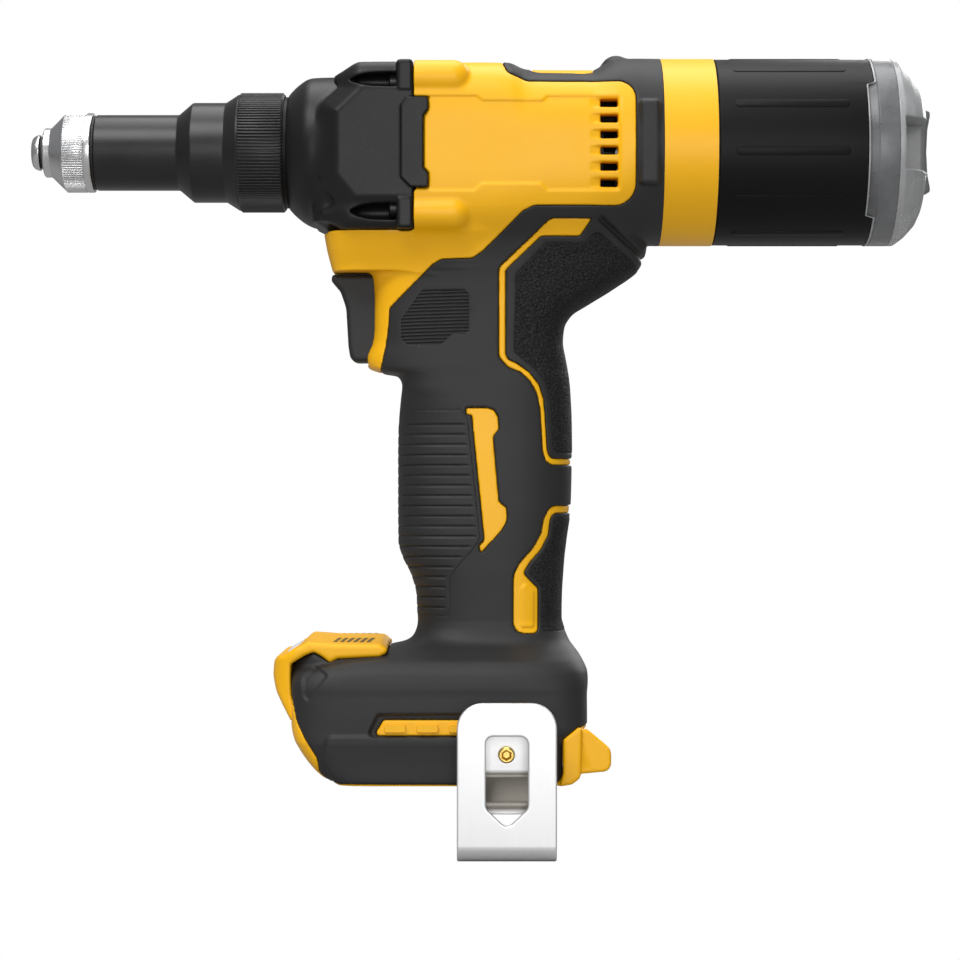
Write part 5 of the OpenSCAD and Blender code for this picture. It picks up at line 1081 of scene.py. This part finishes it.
# Raised marks along the yellow bar of the foot
bar = {"first": 112.4, "long": 6.5, "gap": 3.35, "count": 5, "low": -180.3, "high": -177.8, "faces": (33.2, 34.5),
       "bevel": 0.15, "shrink": (0.965, 0.9), "middle": -178.8}
x0, x1, low, high = bar["first"], bar["first"] + bar["long"], bar["low"], bar["high"]
back, front = bar["faces"]
plan = rounded([(x0, low), (x1, low), (x1, high), (x0, high)], 0.5, 3)
middle, level = (x0 + x1) / 2, bar["middle"]
long, tall = bar["shrink"]
small = [(middle + (x - middle) * long, level + (z - level) * tall) for x, z in plan]
for side, label in sides:
    layers = [[(x, side * y, z) for x, z in facing(outline, side)]
              for y, outline in ((back, plan), (front - bar["bevel"], plan), (front, small))]
    repeated("bar_marks_" + label, alongLine, barMesh("mark", layers), "yellow_plastic", "tool", "yellow_plastic",
             Count=bar["count"], Step=((bar["long"] + bar["gap"]) * mm, 0, 0))
print("foot and hook made")

# Nose: turned parts with straight knurls
nose = {
    "tip": [(0.25, 1.55), (0.0, 1.8), (0.0, 3.8), (0.25, 4.5), (0.75, 5.05), (1.5, 5.45), (2.2, 5.6), (2.6, 5.6),
            (2.6, 3.92), (3.75, 3.92), (3.75, 5.8), (8.8, 5.8), (8.8, 8.0), (10.8, 8.0), (10.8, 3.9), (25.1, 3.9),
            (26.7, 2.4), (26.7, 1.55)],
    "tipCorners": [0.1, 0.1, 0.4, 0, 0, 0, 0, 0.15, 0, 0, 0, 0, 0, 0, 0, 0.2, 0.2, 0],
    "ring": (3.2, 4.55, 0.55),  # along, radius, half thickness
    "collar": [(3.9, 5.9), (3.9, 7.3), (4.3, 7.75), (6.2, 7.75), (10.6, 12.05), (10.9, 12.2), (17.6, 12.2),
               (17.6, 12.5), (19.6, 12.5), (19.6, 9.35), (8.7, 9.35), (8.7, 5.9)],
    "collarCorners": [0, 0.3, 0.2, 0.4, 0.6, 0.3, 0.05, 0.2, 0.35, 0, 0, 0],
    "sleeve": [(10.9, 4.2), (10.9, 9.3), (20.3, 9.3), (20.3, 11.5), (20.75, 11.9), (46.6, 11.9), (51.1, 15.7),
               (61.5, 15.7), (65.4, 18.2), (66.0, 18.35), (79.8, 18.35), (80.1, 18.1), (80.1, 16.9), (81.05, 16.9),
               (81.05, 15.5), (89.8, 15.5), (89.8, 9.6), (21.5, 9.6), (21.5, 4.2)],
    "sleeveCorners": [0, 0, 0, 0.3, 0.3, 1.2, 1.2, 1.0, 1.0, 0.3, 0.1, 0.1, 0, 0, 0, 0, 0, 0, 0],
    # painted shade: a dark ring laid in the groove behind the knurl stands in for the groove's shade
    "grooveShade": [(80.15, 16.95), (80.15, 17.5), (81.1, 17.5), (81.1, 16.95)],
    # from, to, foot, crest, width of the foot and the crest, slope at the ends
    "collarKnurl": (10.7, 17.5, 11.9, 12.5, 0.86, 0.2, 0.25), "collarTeeth": 100,
    "sleeveKnurl": (65.7, 80.1, 18.0, 18.8, 1.1, 0.3, 0.6), "sleeveTeeth": 112,
}


def noseRing(name, profile, segments, finish, *replaced, slot=None):
    revolve(name, profile, segments, finish, "tool", slot or finish, *replaced)


def ridge(x0, x1, low, high, wide, top, slope):
    layers = []
    for z, w, inset in ((low, wide, 0.0), (high - 0.05, top * 1.5, slope), (high, top, slope + 0.08)):
        a, b = x0 + inset, x1 - inset
        layers.append([(a, -w / 2, z), (b, -w / 2, z), (b, w / 2, z), (a, w / 2, z)])
    return barMesh("ridge", layers)


at, middle, size = nose["ring"]
ringLine = [(at + size * math.cos(t * math.pi / 8), middle + size * math.sin(t * math.pi / 8)) for t in range(16)]
noseRing("nose_tip_turned", rounded(nose["tip"], nose["tipCorners"]), 96, "bright_steel", "nosepiece")
noseRing("tip_ring", ringLine, 96, "black_rubber", "nose_o_ring")
noseRing("nose_collar_turned", rounded(nose["collar"], nose["collarCorners"]), 128, "bright_steel", "nose_collar")
noseRing("nose_sleeve_turned", rounded(nose["sleeve"], nose["sleeveCorners"]), 128, "black_steel", "nose_sleeve")
# the dark ring in the groove behind the knurl is painted shade
noseRing("sleeve_seal", nose["grooveShade"], 96, "bottle_rubber", slot="black_rubber")
for label, finish in (("collar", "bright_steel"), ("sleeve", "black_steel")):
    repeated(label + "_knurl", aroundAxis, ridge(*nose[label + "Knurl"]), finish, "tool", finish,
             Count=nose[label + "Teeth"], Turn=0.0)

# Bottle for spent mandrels
bottle = {
    "grip": [(214.95, 28.3), (214.95, 28.9), (215.2, 29.2), (262.9, 29.2), (263.4, 28.9), (263.4, 28.3)],
    "gripCorners": [0, 0.2, 0.3, 0.4, 0.3, 0], "bendFrom": 250.0,
    "notch": (2.6, 44.4, 4.6),  # depth, half angle, turn
    "ribs": (219.8, 255.0, 1.35, 28.6, 29.42, 12, 5.5),  # from, to, half width, foot, crest, count, turn
    "clear": [(203.0, 24.2), (203.0, 26.0), (214.75, 26.0), (214.75, 28.2), (260.2, 28.2), (263.6, 29.0),
              (264.1, 29.4), (270.1, 29.4), (270.1, 27.6), (268.0, 26.4), (216.6, 26.2), (214.9, 24.2)],
    "clearCorners": [0, 0.2, 0.3, 0.3, 0.3, 0.3, 0.4, 0.15, 0.1, 0.5, 1, 0.5],
    "edge": [(263.1, 29.0), (263.1, 29.42), (263.5, 29.5), (263.75, 29.3), (263.75, 29.0)],
    "cap": [(262.0, -1.0), (262.0, 29.4), (272.0, 29.4), (275.1, 27.1), (278.1, 23.8), (279.6, 20.6), (280.4, 16.6),
            (280.8, 13.0), (280.8, -1.0)],
    "capCorners": [0, 0, 1, 1.5, 2, 2, 3, 2, 0], "capStart": 270.15, "wall": 1.5,
    "pocket": (271.9, 3.5, 8.0),  # floor, half of the bar between the pockets, half height
    "knob": [(271.0, 12.8), (281.8, 13.2), (283.4, 12.7), (283.5, 11.4), (282.7, 7.0), (282.4, 0.0), (282.7, -7.0),
             (283.5, -11.4), (283.4, -12.7), (281.8, -13.2), (271.0, -12.8)],
    "knobCorners": [0, 0.8, 0.6, 1, 6, 9, 6, 1, 0.6, 0.8, 0],
    "knobHalf": 3.2, "knobFlare": 0.25 / 13,
}


def notched(x, t):
    # the rear edge of the grip is pulled in over two arcs
    deep, half, turned = bottle["notch"]
    start, end = bottle["bendFrom"], bottle["grip"][-1][0]
    middles = [math.radians(turned + side) for side in (0, 180)]
    away = min(abs(math.degrees(math.atan2(math.sin(t - a), math.cos(t - a)))) for a in middles)
    pull = deep * float(ramp((half + 1.2 - away) / 2.4))
    return x if x < start else start + (x - start) * (end - pull - start) / (end - start)


def capsule(inset, z):
    x0, x1, r = bottle["ribs"][:3]
    turns = [(end, a + math.pi * k / 8) for end, a in ((x1 - r, -math.pi / 2), (x0 + r, math.pi / 2)) for k in range(9)]
    return [(end + (r - inset) * math.cos(t), (r - inset) * math.sin(t), z) for end, t in turns]


start = bottle["bendFrom"]
inner, outside = bottle["grip"][0][1], bottle["grip"][2][1]
gripLine = rounded(bottle["grip"], bottle["gripCorners"])
before, after = [p for p in gripLine if p[0] <= start], [p for p in gripLine if p[0] > start]
gripLine = before + [(start, outside)] + after + [(start, inner)]  # the pulled part starts at points of its own
revolve("bottle_grip", gripLine, 360, "bottle_rubber", "bottle", "black_rubber", "bottle_sleeve", bend=notched)
revolve("bottle_shell", rounded(bottle["clear"], bottle["clearCorners"]), 144, "clear_plastic", "bottle",
        "clear_plastic", "bottle")
# a real lip at the grip's rear edge, in the paler cap plastic so that it shows as a bright line: its paleness is a
# painted highlight
revolve("bottle_edge", bottle["edge"], 360, "bottle_cap", "bottle", "clear_plastic", bend=notched)
capGrid = Grid((269.2, -30, -30), (281.6, 30, 30), 0.32, 0.6)
capLine = rounded(bottle["cap"], bottle["capCorners"])
capForm = outlineField(capLine, capGrid.x, np.sqrt(capGrid.y**2 + capGrid.z**2))
floorAt, half, tall = bottle["pocket"]
pocket = allOf(floorAt - capGrid.x, half - np.abs(capGrid.y), np.abs(capGrid.z) - tall)
capForm = cutSoft(capForm, -pocket, 0.5)
capForm = allOf(capForm, -capForm - bottle["wall"], bottle["capStart"] - capGrid.x)
netPiece("bottle_cap", capForm, capGrid, "bottle_cap", "bottle", "clear_plastic")
low, high, count, turn = bottle["ribs"][3:]
rib = barMesh("rib", [capsule(0, low), capsule(0, high - 0.3), capsule(0.12, high - 0.08), capsule(0.4, high)])
repeated("bottle_ribs", aroundAxis, rib, "bottle_rubber", "bottle", "black_rubber", Count=count,
         Turn=math.radians(90 + turn))
knobGrid = Grid((270.4, -4.4, -14.2), (284.3, 4.4, 14.2), 0.28, 0.5)
knobFace = np.abs(knobGrid.y) - bottle["knobHalf"] - bottle["knobFlare"] * np.abs(knobGrid.z)
knobForm = cutSoft(markField(bottle["knob"], bottle["knobCorners"], knobGrid), knobFace, 0.9)
netPiece("bottle_knob", knobForm, knobGrid, "knob", "bottle", "clear_plastic")
print("nose and bottle made")

# Springs: each coil as a piece of its own, on the body that holds it
springs = {"jaw_spring": ("head", "pusher_slide"), "trigger_spring": ("tool", "trigger_slide")}
for node, (body, joint) in springs.items():
    low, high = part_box(node)
    travel = next(j["range_m"][1] for j in frame["joints"] if j["name"] == joint)
    wire = bmesh.new()
    wire.from_mesh(frame["nodes"][node].data)
    bmesh.ops.remove_doubles(wire, verts=wire.verts, dist=1e-6)
    mesh = bpy.data.meshes.new(node + "_coil")
    wire.to_mesh(mesh)
    wire.free()
    coil = finishPiece(newObject(node + "_coil", mesh), "dark_steel", body, "dark_steel", node)
    1 - travel / (high[0] - low[0])
    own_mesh(coil)
print("springs made")

# Camera, light and floor
scene = bpy.context.scene
scene.view_settings.view_transform = "Standard"
cameraData = bpy.data.cameras.new("camera")
cameraData.lens, cameraData.sensor_width = 100.7, 36.0
camera = bpy.data.objects.new("camera", cameraData)
camera.location = (0.1415, -0.85, -0.1035)
camera.rotation_euler = (math.pi / 2, 0, 0)
scene.collection.objects.link(camera)
scene.camera = camera

studio = {  # place, size, power
    "key": ((-0.45, -1.1, 1.5), 1.0, 26.0), "front": ((0.2, -1.6, 0.1), 0.6, 7.2),
    "top": ((0.17, 0.25, 1.3), 1.1, 15.0), "rim": ((0.6, 0.7, 0.3), 0.5, 3.0),
}
aim = Vector((0.14, 0, -0.06))
for name, (at, size, power) in studio.items():
    data = bpy.data.lights.new(name, "AREA")
    data.size, data.energy = size, power
    lamp = bpy.data.objects.new(name, data)
    lamp.location = at
    lamp.visible_transmission = False
    lamp.rotation_euler = (aim - Vector(at)).to_track_quat("-Z", "Y").to_euler()
    scene.collection.objects.link(lamp)


def whiteToCamera(tree, plain, output):
    # the camera sees white, the tool gets the softer light
    nodes, links = tree.nodes, tree.links
    seen = nodes.new("ShaderNodeLightPath")
    mix = nodes.new("ShaderNodeMixShader")
    white = nodes.new("ShaderNodeBackground" if output.bl_idname.endswith("World") else "ShaderNodeEmission")
    white.inputs["Color"].default_value = (1, 1, 1, 1)
    links.new(seen.outputs["Is Camera Ray"], mix.inputs[0])
    links.new(plain, mix.inputs[1])
    links.new(white.outputs[0], mix.inputs[2])
    links.new(mix.outputs[0], output.inputs["Surface"])


world = bpy.data.worlds.new("studio")
world.use_nodes = True
sky = world.node_tree.nodes["Background"]
sky.inputs["Color"].default_value = (0.97, 0.98, 1, 1)
sky.inputs["Strength"].default_value = 0.26
whiteToCamera(world.node_tree, sky.outputs[0], world.node_tree.nodes["World Output"])
scene.world = world
floorHalf, floorLevel = 6000, -218
floorCorners = [(a * floorHalf, b * floorHalf, floorLevel) for a, b in ((-1, -1), (1, -1), (1, 1), (-1, 1))]
floorMesh = meshFromArrays("floor", floorCorners, [[0, 1, 2, 3]])
floor = newObject("floor", floorMesh)
floorFinish = Finish("floorPale", roughness=0.8)
floorTone = floorFinish.blend(floorFinish.noise(400, 2), (0.29, 0.29, 0.29), (0.33, 0.33, 0.33))
floorFinish.feed("Base Color", floorTone)
whiteToCamera(floorFinish.tree, floorFinish.shader.outputs[0], floorFinish.tree.nodes["Material Output"])
floorMesh.materials.append(floorFinish.material)
print("stage set")
